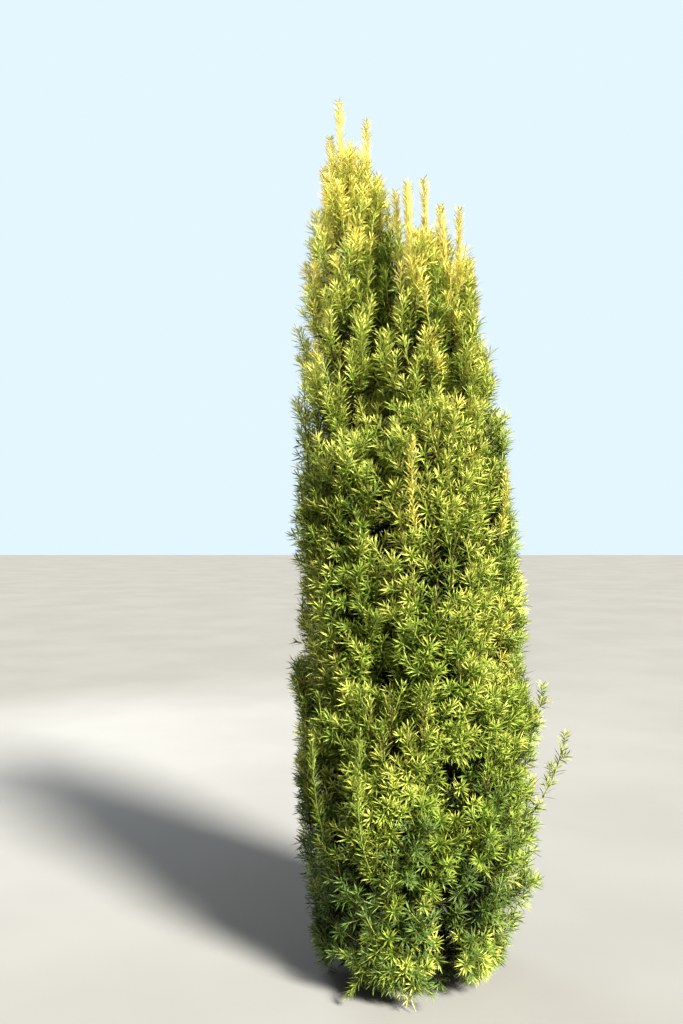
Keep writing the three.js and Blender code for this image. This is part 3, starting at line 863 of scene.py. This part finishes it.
# Corners of each needle: a narrow foot, its broad shoulder and its tip, bowed along its length
def needle_corners(needles):
    side = np.cross(needles["upper"], needles["heading"])

    def at(station, out):
        bow = -needles["bow"] * needles["length"] * station * station
        middle = needles["root"] + needles["heading"] * needles["length"] * station
        return middle + needles["upper"] * bow + side * needles["width"] * out

    corners = [at(0, -NEEDLE_FOOT_WIDTH), at(0, NEEDLE_FOOT_WIDTH), at(NEEDLE_SHOULDER, -1),
               at(NEEDLE_SHOULDER, 1), at(1, 0)]
    return np.stack(corners, axis=1)


NEEDLE_FACES = np.array([(0, 2, 3), (0, 3, 1), (2, 4, 3)])
NEEDLE_UV = np.array([(0.3, 0), (0.7, 0), (0, NEEDLE_SHOULDER), (1, NEEDLE_SHOULDER), (0.5, 1)])


# A mesh object from arrays of points and triangles, in metres
def mesh_piece(name, points, triangles, uv=None, tone=None):
    mesh = bpy.data.meshes.new(name)
    mesh.vertices.add(len(points))
    mesh.vertices.foreach_set("co", np.ascontiguousarray(points, np.float32).ravel())
    mesh.loops.add(triangles.size)
    mesh.loops.foreach_set("vertex_index", np.ascontiguousarray(triangles, np.int32).ravel())
    mesh.polygons.add(len(triangles))
    mesh.polygons.foreach_set("loop_start", np.arange(0, triangles.size, 3, dtype=np.int32))
    mesh.polygons.foreach_set("use_smooth", np.ones(len(triangles), bool))
    if uv is not None:
        layer = mesh.uv_layers.new(name="needle")
        layer.data.foreach_set("uv", np.ascontiguousarray(uv[triangles], np.float32).ravel())
    if tone is not None:
        layer = mesh.attributes.new("tone", "FLOAT", "POINT")
        layer.data.foreach_set("value", np.ascontiguousarray(tone, np.float32))
    mesh.update(calc_edges=True)
    mesh.validate()
    piece = bpy.data.objects.new(name, mesh)
    bpy.context.scene.collection.objects.link(piece)
    return piece


def needle_piece(name, batches):
    needles = {key: np.concatenate([batch[key] for batch in batches]) for key in batches[0]}
    corners = needle_corners(needles)
    count = len(corners)
    triangles = NEEDLE_FACES[None] + len(NEEDLE_UV) * np.arange(count)[:, None, None]
    points = corners.reshape(-1, 3) * MM
    points[:, 2] = np.maximum(points[:, 2], LOWEST_NEEDLE * MM)
    return mesh_piece(name, points, triangles.reshape(-1, 3), np.tile(NEEDLE_UV, (count, 1)),
                      np.repeat(needles["tone"], len(NEEDLE_UV)))


# How far the bark stands out: long strips that wander and part, with short cracks across them
def bark_relief(turn, height, count):
    sway = STRIPS["sway"] * np.sin(height / STRIPS["sway_height"])
    strips = np.sin(count * turn + sway + height / STRIPS["height"])
    cracks = np.sin(height / FLAKES["height"] + FLAKES["sway"] * np.sin(3 * turn))
    flakes = np.sin((2 * count - 1) * turn - height / FLAKES["slant"]) * cracks
    return STRIPS["share"] * strips + FLAKES["share"] * flakes


def tube_triangles(steps, sides):
    faces = []
    for step in range(steps - 1):
        for i in range(sides):
            a = step * sides + i
            b = step * sides + (i + 1) % sides
            faces.append((a, b, b + sides))
            faces.append((a, b + sides, a + sides))
    last = (steps - 1) * sides
    faces += [(last + i, last + (i + 1) % sides, steps * sides) for i in range(sides)]
    faces += [((i + 1) % sides, i, steps * sides + 1) for i in range(sides)]
    return np.array(faces)


# Tubes along lines with the same number of points: twigs and limbs
def tubes(lines, thick, thin, sides, relief=0):
    lines = np.array(lines)
    thick = np.array(thick)[:, None, None]
    thin = np.array(thin)[:, None, None]
    count, steps = lines.shape[:2]
    headings = unit(np.gradient(lines, axis=1))
    side = square_to(headings[:, 0])[0]
    turn = np.linspace(0, 2 * math.pi, sides, endpoint=False)[None, :, None]
    rings = []
    for step in range(steps):
        heading = headings[:, step]
        side = unit(side - heading * (side * heading).sum(1, keepdims=True))
        over = np.cross(heading, side)
        radius = lerp(thick, thin, step / (steps - 1))
        if relief:
            strips = bark_relief(turn, lines[:, step, None, 2:], BARK["bough_strips"])
            radius = radius * (1 + relief * strips)
        round_it = side[:, None] * np.cos(turn) + over[:, None] * np.sin(turn)
        rings.append(lines[:, step, None] + round_it * radius)
    points = np.stack(rings, axis=1).reshape(count, steps * sides, 3)
    tips = lines[:, -1:] + headings[:, -1:] * thin
    points = np.concatenate([points, tips, lines[:, :1]], axis=1)
    offset = points.shape[1] * np.arange(count)[:, None, None]
    return points.reshape(-1, 3), (tube_triangles(steps, sides)[None] + offset).reshape(-1, 3)


def joined(parts):
    points = []
    triangles = []
    base = 0
    for part_points, part_triangles in parts:
        points.append(part_points)
        triangles.append(part_triangles + base)
        base += len(part_points)
    return np.concatenate(points), np.concatenate(triangles)


def twig_piece(name, chosen):
    parts = []
    for steps in sorted({len(twig["line"]) for twig in chosen}):
        same = [twig for twig in chosen if len(twig["line"]) == steps]
        thick = [twig["thick"] for twig in same]
        thin = [twig["thin"] for twig in same]
        parts.append(tubes([twig["line"] for twig in same], thick, thin, TWIG_SIDES))
    points, triangles = joined(parts)
    return mesh_piece(name, points * MM, triangles)


# Boughs: the source's curves. Those of the plumes are spread evenly round the trunk.
def plume_spread(mass):
    plumes = sorted((m for m in MASSES if m["kind"] == "plume"), key=lambda m: m["bearing"])
    order = [m["name"] for m in plumes].index(mass["name"])
    return plumes[0]["bearing"] + 360 * order / len(plumes)


def catmull_rom(points, count):
    points = [2 * points[0] - points[1], *points, 2 * points[-1] - points[-2]]
    line = []
    for k in range(1, len(points) - 2):
        p0, p1, p2, p3 = points[k - 1:k + 3]
        knots = [0.0]
        for a, b in ((p0, p1), (p1, p2), (p2, p3)):
            knots.append(knots[-1] + math.sqrt(np.linalg.norm(b - a)))
        t0, t1, t2, t3 = knots
        for t in np.linspace(t1, t2, count, endpoint=False):
            a1 = lerp(p0, p1, (t - t0) / (t1 - t0))
            a2 = lerp(p1, p2, (t - t1) / (t2 - t1))
            a3 = lerp(p2, p3, (t - t2) / (t3 - t2))
            b1 = lerp(a1, a2, (t - t0) / (t2 - t0))
            b2 = lerp(a2, a3, (t - t1) / (t3 - t1))
            line.append(lerp(b1, b2, (t - t1) / (t2 - t1)))
    line.append(points[-2])
    return np.array(line)


def bough_line(mass):
    form = BOUGH_FORMS[mass["kind"]]
    spread = plume_spread(mass) if mass["kind"] == "plume" else mass["bearing"]
    start = facing(spread) * form["start"][0]
    start = start + [TRUNK["lean"] * BOUGH_LEAN, 0, form["start"][1]]
    shoulder = crown_point(spread, *form["shoulder"])
    under = lerp(mass["foot"], shoulder, BOUGH_BEND["share"])
    under[2] = lerp(mass["foot"][2], shoulder[2], BOUGH_BEND["drop"])
    return catmull_rom([start, shoulder, under, mass["foot"]], SPAN_POINTS)


for mass in MASSES:
    grow_collar(mass)
    grow_branchlets(mass)
    grow_inward(mass)
    grow_inner(mass)
    grow_on_limb(mass)
    grow_at_foot(mass)
    grow_in_seams(mass)
    grow_stem_end(mass)
    grow_side_leaders(mass)
    grow_strays(mass)
    grow_sprigs(mass)


# Node helpers
def add(tree, kind, **settings):
    node = tree.nodes.new(kind)
    for name, value in settings.items():
        setattr(node, name, value)
    return node


# A group that takes colours and puts out the colour, roughness and height of a surface
def surface_group(name, colours):
    group = bpy.data.node_groups.new(name, "ShaderNodeTree")
    for label in colours:
        group.interface.new_socket(label, in_out="INPUT", socket_type="NodeSocketColor")
    group.interface.new_socket("Colour", in_out="OUTPUT", socket_type="NodeSocketColor")
    for label in ("Roughness", "Height"):
        group.interface.new_socket(label, in_out="OUTPUT", socket_type="NodeSocketFloat")
    return group, add(group, "NodeGroupInput"), add(group, "NodeGroupOutput")


def maths(tree, operation, first, second):
    node = add(tree, "ShaderNodeMath", operation=operation)
    for socket, value in zip(node.inputs, (first, second)):
        if isinstance(value, (int, float)):
            socket.default_value = value
        else:
            tree.links.new(value, socket)
    return node.outputs[0]


# A value times a factor, on top of a base
def scaled(tree, value, factor, base):
    result = maths(tree, "MULTIPLY_ADD", value, factor)
    result.node.inputs[2].default_value = base
    return result


def ramp(tree, value, low, high):
    node = add(tree, "ShaderNodeMapRange", interpolation_type="SMOOTHSTEP")
    tree.links.new(value, node.inputs["Value"])
    node.inputs["From Min"].default_value = low
    node.inputs["From Max"].default_value = high
    return node.outputs["Result"]


def mix(tree, share, first, second):
    node = add(tree, "ShaderNodeMix", data_type="RGBA")
    colour_sockets = [s for s in node.inputs if s.type == "RGBA"]
    sockets = (node.inputs[0], colour_sockets[0], colour_sockets[1])
    for socket, value in zip(sockets, (share, first, second)):
        if hasattr(value, "links"):
            tree.links.new(value, socket)
        else:
            socket.default_value = value
    return next(s for s in node.outputs if s.type == "RGBA")


def noise(tree, scale, detail, stretch=(1, 1, 1)):
    where = add(tree, "ShaderNodeTexCoord")
    mapping = add(tree, "ShaderNodeMapping")
    mapping.inputs["Scale"].default_value = stretch
    tree.links.new(where.outputs["Object"], mapping.inputs["Vector"])
    node = add(tree, "ShaderNodeTexNoise")
    node.inputs["Scale"].default_value = scale
    node.inputs["Detail"].default_value = detail
    tree.links.new(mapping.outputs["Vector"], node.inputs["Vector"])
    return node.outputs["Fac"]


# How far each point lies from the needle's middle line, and how far along the needle
def needle_place(group):
    place = add(group, "ShaderNodeUVMap", uv_map="needle")
    parts = add(group, "ShaderNodeSeparateXYZ")
    group.links.new(place.outputs["UV"], parts.inputs[0])
    across = maths(group, "SUBTRACT", parts.outputs["X"], 0.5)
    return maths(group, "ABSOLUTE", across, 0), parts.outputs["Y"]


# Lighter and darker from needle to needle, and lighter and greener in drifts over the crown
def varied(group, colour, tone):
    drift = noise(group, scale=9, detail=2)
    shade = add(group, "ShaderNodeHueSaturation")
    brightness = scaled(group, tone, 0.14, 0.81)
    brightness = maths(group, "ADD", brightness, maths(group, "MULTIPLY", drift, 0.26))
    group.links.new(brightness, shade.inputs["Value"])
    group.links.new(scaled(group, drift, 0.03, 0.485), shade.inputs["Hue"])
    group.links.new(colour, shade.inputs["Color"])
    return shade.outputs["Color"]


# Needle colour: lighter margins, a deeper green foot and a raised rib
def needle_tint_group():
    group, source, result = surface_group("needle_tint", ["Colour", "Margin", "Foot"])
    across, along = needle_place(group)
    tone = add(group, "ShaderNodeAttribute", attribute_name="tone").outputs["Fac"]
    margin = ramp(group, across, low=0.24, high=0.48)
    foot = ramp(group, along, low=0.7, high=0.12)
    colour = mix(group, margin, source.outputs["Colour"], source.outputs["Margin"])
    colour = mix(group, foot, colour, source.outputs["Foot"])
    group.links.new(varied(group, colour, tone), result.inputs["Colour"])
    group.links.new(scaled(group, tone, 0.16, 0.36), result.inputs["Roughness"])
    group.links.new(ramp(group, across, low=0, high=0.2), result.inputs["Height"])
    return group


# Bark: long reddish plates, dark seams between them, and fresh bark where flakes have peeled
def bark_group():
    group, source, result = surface_group("bark_plates", ["Plate", "Fresh", "Seam"])
    plates = noise(group, scale=130, detail=4, stretch=(1, 1, 0.06))
    flakes = noise(group, scale=60, detail=3, stretch=(1, 1, 0.08))
    seams = ramp(group, plates, low=0.5, high=0.4)
    peeled = ramp(group, flakes, low=0.5, high=0.66)
    colour = mix(group, peeled, source.outputs["Plate"], source.outputs["Fresh"])
    colour = mix(group, seams, colour, source.outputs["Seam"])
    height = maths(group, "ADD", plates, maths(group, "MULTIPLY", peeled, -0.2))
    group.links.new(colour, result.inputs["Colour"])
    group.links.new(scaled(group, peeled, -0.2, 0.9), result.inputs["Roughness"])
    group.links.new(height, result.inputs["Height"])
    return group


def new_material(name):
    material = bpy.data.materials.new(name)
    material.use_nodes = True
    return material, material.node_tree, material.node_tree.nodes["Principled BSDF"]


def use_group(tree, group, colours):
    node = add(tree, "ShaderNodeGroup", node_tree=group)
    for name, colour in colours.items():
        node.inputs[name].default_value = (*colour, 1)
    return node


# Finish of needles and bark, with depths in metres
BUMP_STRENGTH = 0.6
NEEDLE_GLEAM = 0.28
RIB_DEPTH = 0.0004
BARK_GLEAM = 0.2


def bumped(tree, shader, height, depth):
    bump = add(tree, "ShaderNodeBump")
    bump.inputs["Distance"].default_value = depth
    bump.inputs["Strength"].default_value = BUMP_STRENGTH
    tree.links.new(height, bump.inputs["Height"])
    tree.links.new(bump.outputs["Normal"], shader.inputs["Normal"])


def needle_material(name, group, colour, margin, foot, under):
    material, tree, shader = new_material(name)
    tint = use_group(tree, group, {"Colour": colour, "Margin": margin, "Foot": foot})
    underside = add(tree, "ShaderNodeNewGeometry").outputs["Backfacing"]
    colour = mix(tree, underside, tint.outputs["Colour"], (*under, 1))
    tree.links.new(colour, shader.inputs["Base Color"])
    tree.links.new(tint.outputs["Roughness"], shader.inputs["Roughness"])
    shader.inputs["Specular IOR Level"].default_value = NEEDLE_GLEAM
    bumped(tree, shader, tint.outputs["Height"], RIB_DEPTH)
    return material


def bark_material(name, group, plate, fresh, seam, depth):
    material, tree, shader = new_material(name)
    bark = use_group(tree, group, {"Plate": plate, "Fresh": fresh, "Seam": seam})
    tree.links.new(bark.outputs["Colour"], shader.inputs["Base Color"])
    tree.links.new(bark.outputs["Roughness"], shader.inputs["Roughness"])
    shader.inputs["Specular IOR Level"].default_value = BARK_GLEAM
    bumped(tree, shader, bark.outputs["Height"], depth)
    return material


# Tints: the needle, its margin, its foot and its underside
NEEDLE_COLOURS = {
    "amber": {"colour": (0.62, 0.54, 0.13), "margin": (0.70, 0.61, 0.18),
              "foot": (0.46, 0.41, 0.07), "under": (0.61, 0.53, 0.15)},
    "gold": {"colour": (0.79, 0.70, 0.18), "margin": (0.84, 0.755, 0.25),
             "foot": (0.55, 0.53, 0.08), "under": (0.76, 0.685, 0.21)},
    "lime": {"colour": (0.58, 0.61, 0.13), "margin": (0.66, 0.67, 0.19),
             "foot": (0.15, 0.24, 0.02), "under": (0.53, 0.57, 0.15)},
    "fresh": {"colour": (0.31, 0.395, 0.06), "margin": (0.39, 0.455, 0.11),
              "foot": (0.08, 0.15, 0.013), "under": (0.28, 0.36, 0.075)},
    # leaf: a dark green, mostly painted shade inside the crown, in its seams and crease, and on
    # older needles
    "leaf": {"colour": (0.10, 0.16, 0.016), "margin": (0.13, 0.19, 0.024),
             "foot": (0.035, 0.07, 0.006), "under": (0.105, 0.16, 0.023)},
    # deep: near-black painted shade for the sprays inside the crown
    "deep": {"colour": (0.014, 0.023, 0.005), "margin": (0.02, 0.032, 0.007),
             "foot": (0.011, 0.018, 0.004), "under": (0.016, 0.025, 0.006)},
    # cool: a blue-green, partly its own tint and partly painted shade on the foot's shaded side
    "cool": {"colour": (0.15, 0.22, 0.055), "margin": (0.21, 0.29, 0.09),
             "foot": (0.08, 0.135, 0.03), "under": (0.17, 0.24, 0.08)},
}
# Skins: the colours of the bark, and how deep its relief is in metres
SKINS = {
    "young_shoot": {"plate": (0.46, 0.47, 0.11), "fresh": (0.54, 0.5, 0.15),
                    "seam": (0.30, 0.34, 0.07), "depth": 0.0002},
    "brown_twig": {"plate": (0.13, 0.07, 0.035), "fresh": (0.2, 0.1, 0.05),
                   "seam": (0.05, 0.03, 0.015), "depth": 0.0005},
    "old_bark": {"plate": (0.1, 0.062, 0.045), "fresh": (0.165, 0.082, 0.05),
                 "seam": (0.038, 0.025, 0.02), "depth": 0.004},
}
TWIG_SKINS = {"young": "young_shoot", "brown": "brown_twig"}
needle_tint = needle_tint_group()
bark_plates = bark_group()
needle_materials = {
    tint: needle_material(f"needle_{tint}", needle_tint, **colours)
    for tint, colours in NEEDLE_COLOURS.items()
}
skins = {name: bark_material(name, bark_plates, **look) for name, look in SKINS.items()}


def dress(piece, material, nodes):
    piece.data.materials.append(material)
    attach(piece, "root")
    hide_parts(*nodes)


def foliage_nodes(zone):
    return [f"foliage_{mass['name']}" for mass in MASSES if ZONES[mass["kind"]] == zone]


def make_needles():
    batches = {}
    for spray in sprays:
        needles = needles_of(spray)
        old = needles["old"]
        for chosen, tint in ((~old, spray["tint"]), (old, OLDER_AND_SHADED[spray["tint"]])):
            batch = {key: value[chosen] for key, value in needles.items()}
            batches.setdefault((spray["zone"], tint), []).append(batch)
    for (zone, tint), parts in sorted(batches.items()):
        piece = needle_piece(f"needles_{zone}_{tint}", parts)
        dress(piece, needle_materials[tint], foliage_nodes(zone))


def make_twigs():
    for zone in ZONES.values():
        for skin, material in TWIG_SKINS.items():
            chosen = [twig for twig in twigs if twig["zone"] == zone and twig["skin"] == skin]
            piece = twig_piece(f"twigs_{zone}_{skin}", chosen)
            dress(piece, skins[material], foliage_nodes(zone))


# Rounds off the elbows of a line and leaves its ends where they are
def smoothed(line):
    for _ in range(BARK["bough_smoothing"]):
        line[1:-1] = (line[:-2] + 2 * line[1:-1] + line[2:]) / 4
    return line


# A bough, carried on up the lower half of its mass's stem
def limb_line(mass):
    shares = np.linspace(0, LIMB_STEM["share"], LIMB_STEM["points"])
    stem = [stem_point(mass, share) for share in shares]
    line = np.concatenate([bough_line(mass), stem[1:]])
    return smoothed(along_line(line, np.linspace(0, 1, BARK["bough_steps"]))[0])


def make_boughs():
    thick = [BOUGH_FORMS[mass["kind"]]["fork"] for mass in MASSES]
    thin = [BARK["bough_end"]] * len(MASSES)
    limbs = [limb_line(mass) for mass in MASSES]
    points, triangles = tubes(limbs, thick, thin, BARK["bough_sides"], BARK["bough_relief"])
    piece = mesh_piece("boughs", points * MM, triangles)
    dress(piece, skins["old_bark"], [f"bough_{mass['name']}" for mass in MASSES])


# A round cut at the ground, drawn up ring by ring and closed at both ends
def trunk_blank():
    bpy.ops.object.select_all(action="DESELECT")
    bpy.ops.mesh.primitive_circle_add(vertices=BARK["trunk_sides"], radius=TRUNK["foot"] * MM)
    trunk = bpy.context.object
    trunk.name = "trunk_bark"
    trunk.data.name = "trunk_bark"
    bpy.ops.object.mode_set(mode="EDIT")
    step = TRUNK["height"] * MM / BARK["trunk_rings"]
    for _ in range(BARK["trunk_rings"]):
        bpy.ops.mesh.extrude_region_move(TRANSFORM_OT_translate={"value": (0, 0, step)})
    bpy.ops.mesh.edge_face_add()
    bpy.ops.mesh.inset(thickness=TRUNK["foot"] * BARK["inset"] * MM)
    bpy.ops.mesh.inset(thickness=TRUNK["foot"] * BARK["inset"] * MM)
    bpy.ops.mesh.select_all(action="DESELECT")
    bpy.ops.mesh.select_non_manifold()
    bpy.ops.mesh.edge_face_add()
    bpy.ops.object.mode_set(mode="OBJECT")
    return trunk


# Where a point of the blank goes: in to the neck, out to the flare and its lobes, and on to the
# strips of the bark
def trunk_place(co):
    z = co[2] / MM
    t = z / TRUNK["height"]
    turn = math.atan2(co[0], co[1])
    share = math.hypot(co[0], co[1]) / (TRUNK["foot"] * MM)
    flare = math.exp(-z / FLARE["height"])
    drawn_in = min(max((t - TRUNK_TOP["from"]) / TRUNK_TOP["over"], 0), 1)
    body = lerp(lerp(TRUNK["neck"], TRUNK["head"], t), TRUNK["top"], drawn_in * drawn_in)
    lobes = 1 + FLARE["depth"] * flare * math.cos(FLARE["lobes"] * turn)
    lobes += BARK["trunk_relief"] * bark_relief(turn, z, BARK["trunk_strips"])
    radius = (body + (TRUNK["foot"] - TRUNK["neck"]) * flare) * lobes * share
    dome = BARK["dome"] * (1 - share * share) if z > TRUNK["height"] - 1 else 0
    return ((math.sin(turn) * radius + TRUNK["lean"] * t) * MM, math.cos(turn) * radius * MM,
            (z + dome) * MM)


def make_trunk():
    trunk = trunk_blank()
    for vertex in trunk.data.vertices:
        vertex.co = trunk_place(vertex.co)
    bpy.ops.object.mode_set(mode="EDIT")
    bpy.ops.mesh.select_all(action="SELECT")
    bpy.ops.mesh.normals_make_consistent(inside=False)
    bpy.ops.object.mode_set(mode="OBJECT")
    bpy.ops.object.shade_smooth_by_angle(angle=math.radians(BARK["smooth_below"]))
    dress(trunk, skins["old_bark"], ["trunk"])


make_needles()
make_twigs()
make_boughs()
make_trunk()


# Floor, light and camera, in metres, watts and degrees
FLOOR = {"size": 60, "colours": ((0.31, 0.31, 0.30, 1), (0.335, 0.335, 0.325, 1)), "rough": 0.9}
KEY = {"power": 9.3, "softness": 14, "colour": (1.0, 0.96, 0.88), "tilt": 55, "turn": 39}
CROWN_FILL = {"place": (-1.2, -2.9, 3.0), "aim": (-0.04, 0, 2.12), "power": 450,
              "colour": (1.0, 0.98, 0.92)}
CROWN_FILL_CONE = {"degrees": 30, "blend": 1, "softness": 0.5}
BACK = {"place": (-1.9, 3.2, 2.4), "aim": (0, 0, 1.1), "power": 70, "colour": (0.92, 0.96, 1.0)}
BACK_SIZE = 2.4
AMBIENT = {"Color": (0.80, 0.84, 0.86, 1), "Strength": 0.17}
BACKDROP = {"Color": (0.66, 0.78, 0.88, 1), "Strength": 1}
# The camera stands to the left of the plant's middle and looks up by ten parts in 950
CAMERA = {"place": (-0.161, -2.41, 1.125), "lens": 33.4, "rise": 10 / 950}


def floor_material():
    material, tree, shader = new_material("pale_floor")
    cloud = noise(tree, scale=1.2, detail=3)
    colour = mix(tree, ramp(tree, cloud, low=0.3, high=0.7), *FLOOR["colours"])
    tree.links.new(colour, shader.inputs["Base Color"])
    shader.inputs["Roughness"].default_value = FLOOR["rough"]
    return material


def make_floor():
    bpy.ops.object.select_all(action="DESELECT")
    bpy.ops.mesh.primitive_plane_add(size=FLOOR["size"])
    floor = bpy.context.object
    floor.name = "floor"
    floor.data.materials.append(floor_material())


def make_key():
    bpy.ops.object.light_add(type="SUN")
    key = bpy.context.object
    key.name = "key"
    key.data.energy = KEY["power"]
    key.data.angle = math.radians(KEY["softness"])
    key.data.color = KEY["colour"]
    key.rotation_euler = (math.radians(KEY["tilt"]), 0, math.radians(KEY["turn"]))


def lamp(kind, name, place, aim, power, colour):
    bpy.ops.object.light_add(type=kind, location=place)
    light = bpy.context.object
    light.name = name
    light.data.energy = power
    light.data.color = colour
    line = np.array(aim) - np.array(place)
    light.rotation_euler = (math.atan2(math.hypot(line[0], line[1]), -line[2]), 0,
                            math.atan2(line[0], -line[1]) + math.pi)
    return light.data


def make_fills():
    crown_fill = lamp("SPOT", "crown_fill", **CROWN_FILL)
    crown_fill.spot_size = math.radians(CROWN_FILL_CONE["degrees"])
    crown_fill.spot_blend = CROWN_FILL_CONE["blend"]
    crown_fill.shadow_soft_size = CROWN_FILL_CONE["softness"]
    back = lamp("AREA", "back", **BACK)
    back.size = BACK_SIZE


# The camera sees the backdrop, and the plant is lit by the ambient
def make_world():
    world = bpy.data.worlds.new("studio")
    world.use_nodes = True
    bpy.context.scene.world = world
    tree = world.node_tree
    ambient = tree.nodes["Background"]
    backdrop = add(tree, "ShaderNodeBackground")
    for node, light in ((ambient, AMBIENT), (backdrop, BACKDROP)):
        for name, value in light.items():
            node.inputs[name].default_value = value
    seen = add(tree, "ShaderNodeLightPath").outputs["Is Camera Ray"]
    both = add(tree, "ShaderNodeMixShader")
    tree.links.new(seen, both.inputs[0])
    tree.links.new(ambient.outputs[0], both.inputs[1])
    tree.links.new(backdrop.outputs[0], both.inputs[2])
    tree.links.new(both.outputs[0], tree.nodes["World Output"].inputs["Surface"])


def make_camera():
    bpy.ops.object.camera_add(location=CAMERA["place"])
    camera = bpy.context.object
    camera.name = "camera"
    camera.data.lens = CAMERA["lens"]
    camera.rotation_euler = (math.radians(90) + math.atan(CAMERA["rise"]), 0, 0)
    bpy.context.scene.camera = camera


make_floor()
make_key()
make_fills()
make_world()
make_camera()
bpy.context.scene.view_settings.view_transform = "Standard"
bpy.context.scene.view_settings.look = "Medium High Contrast"
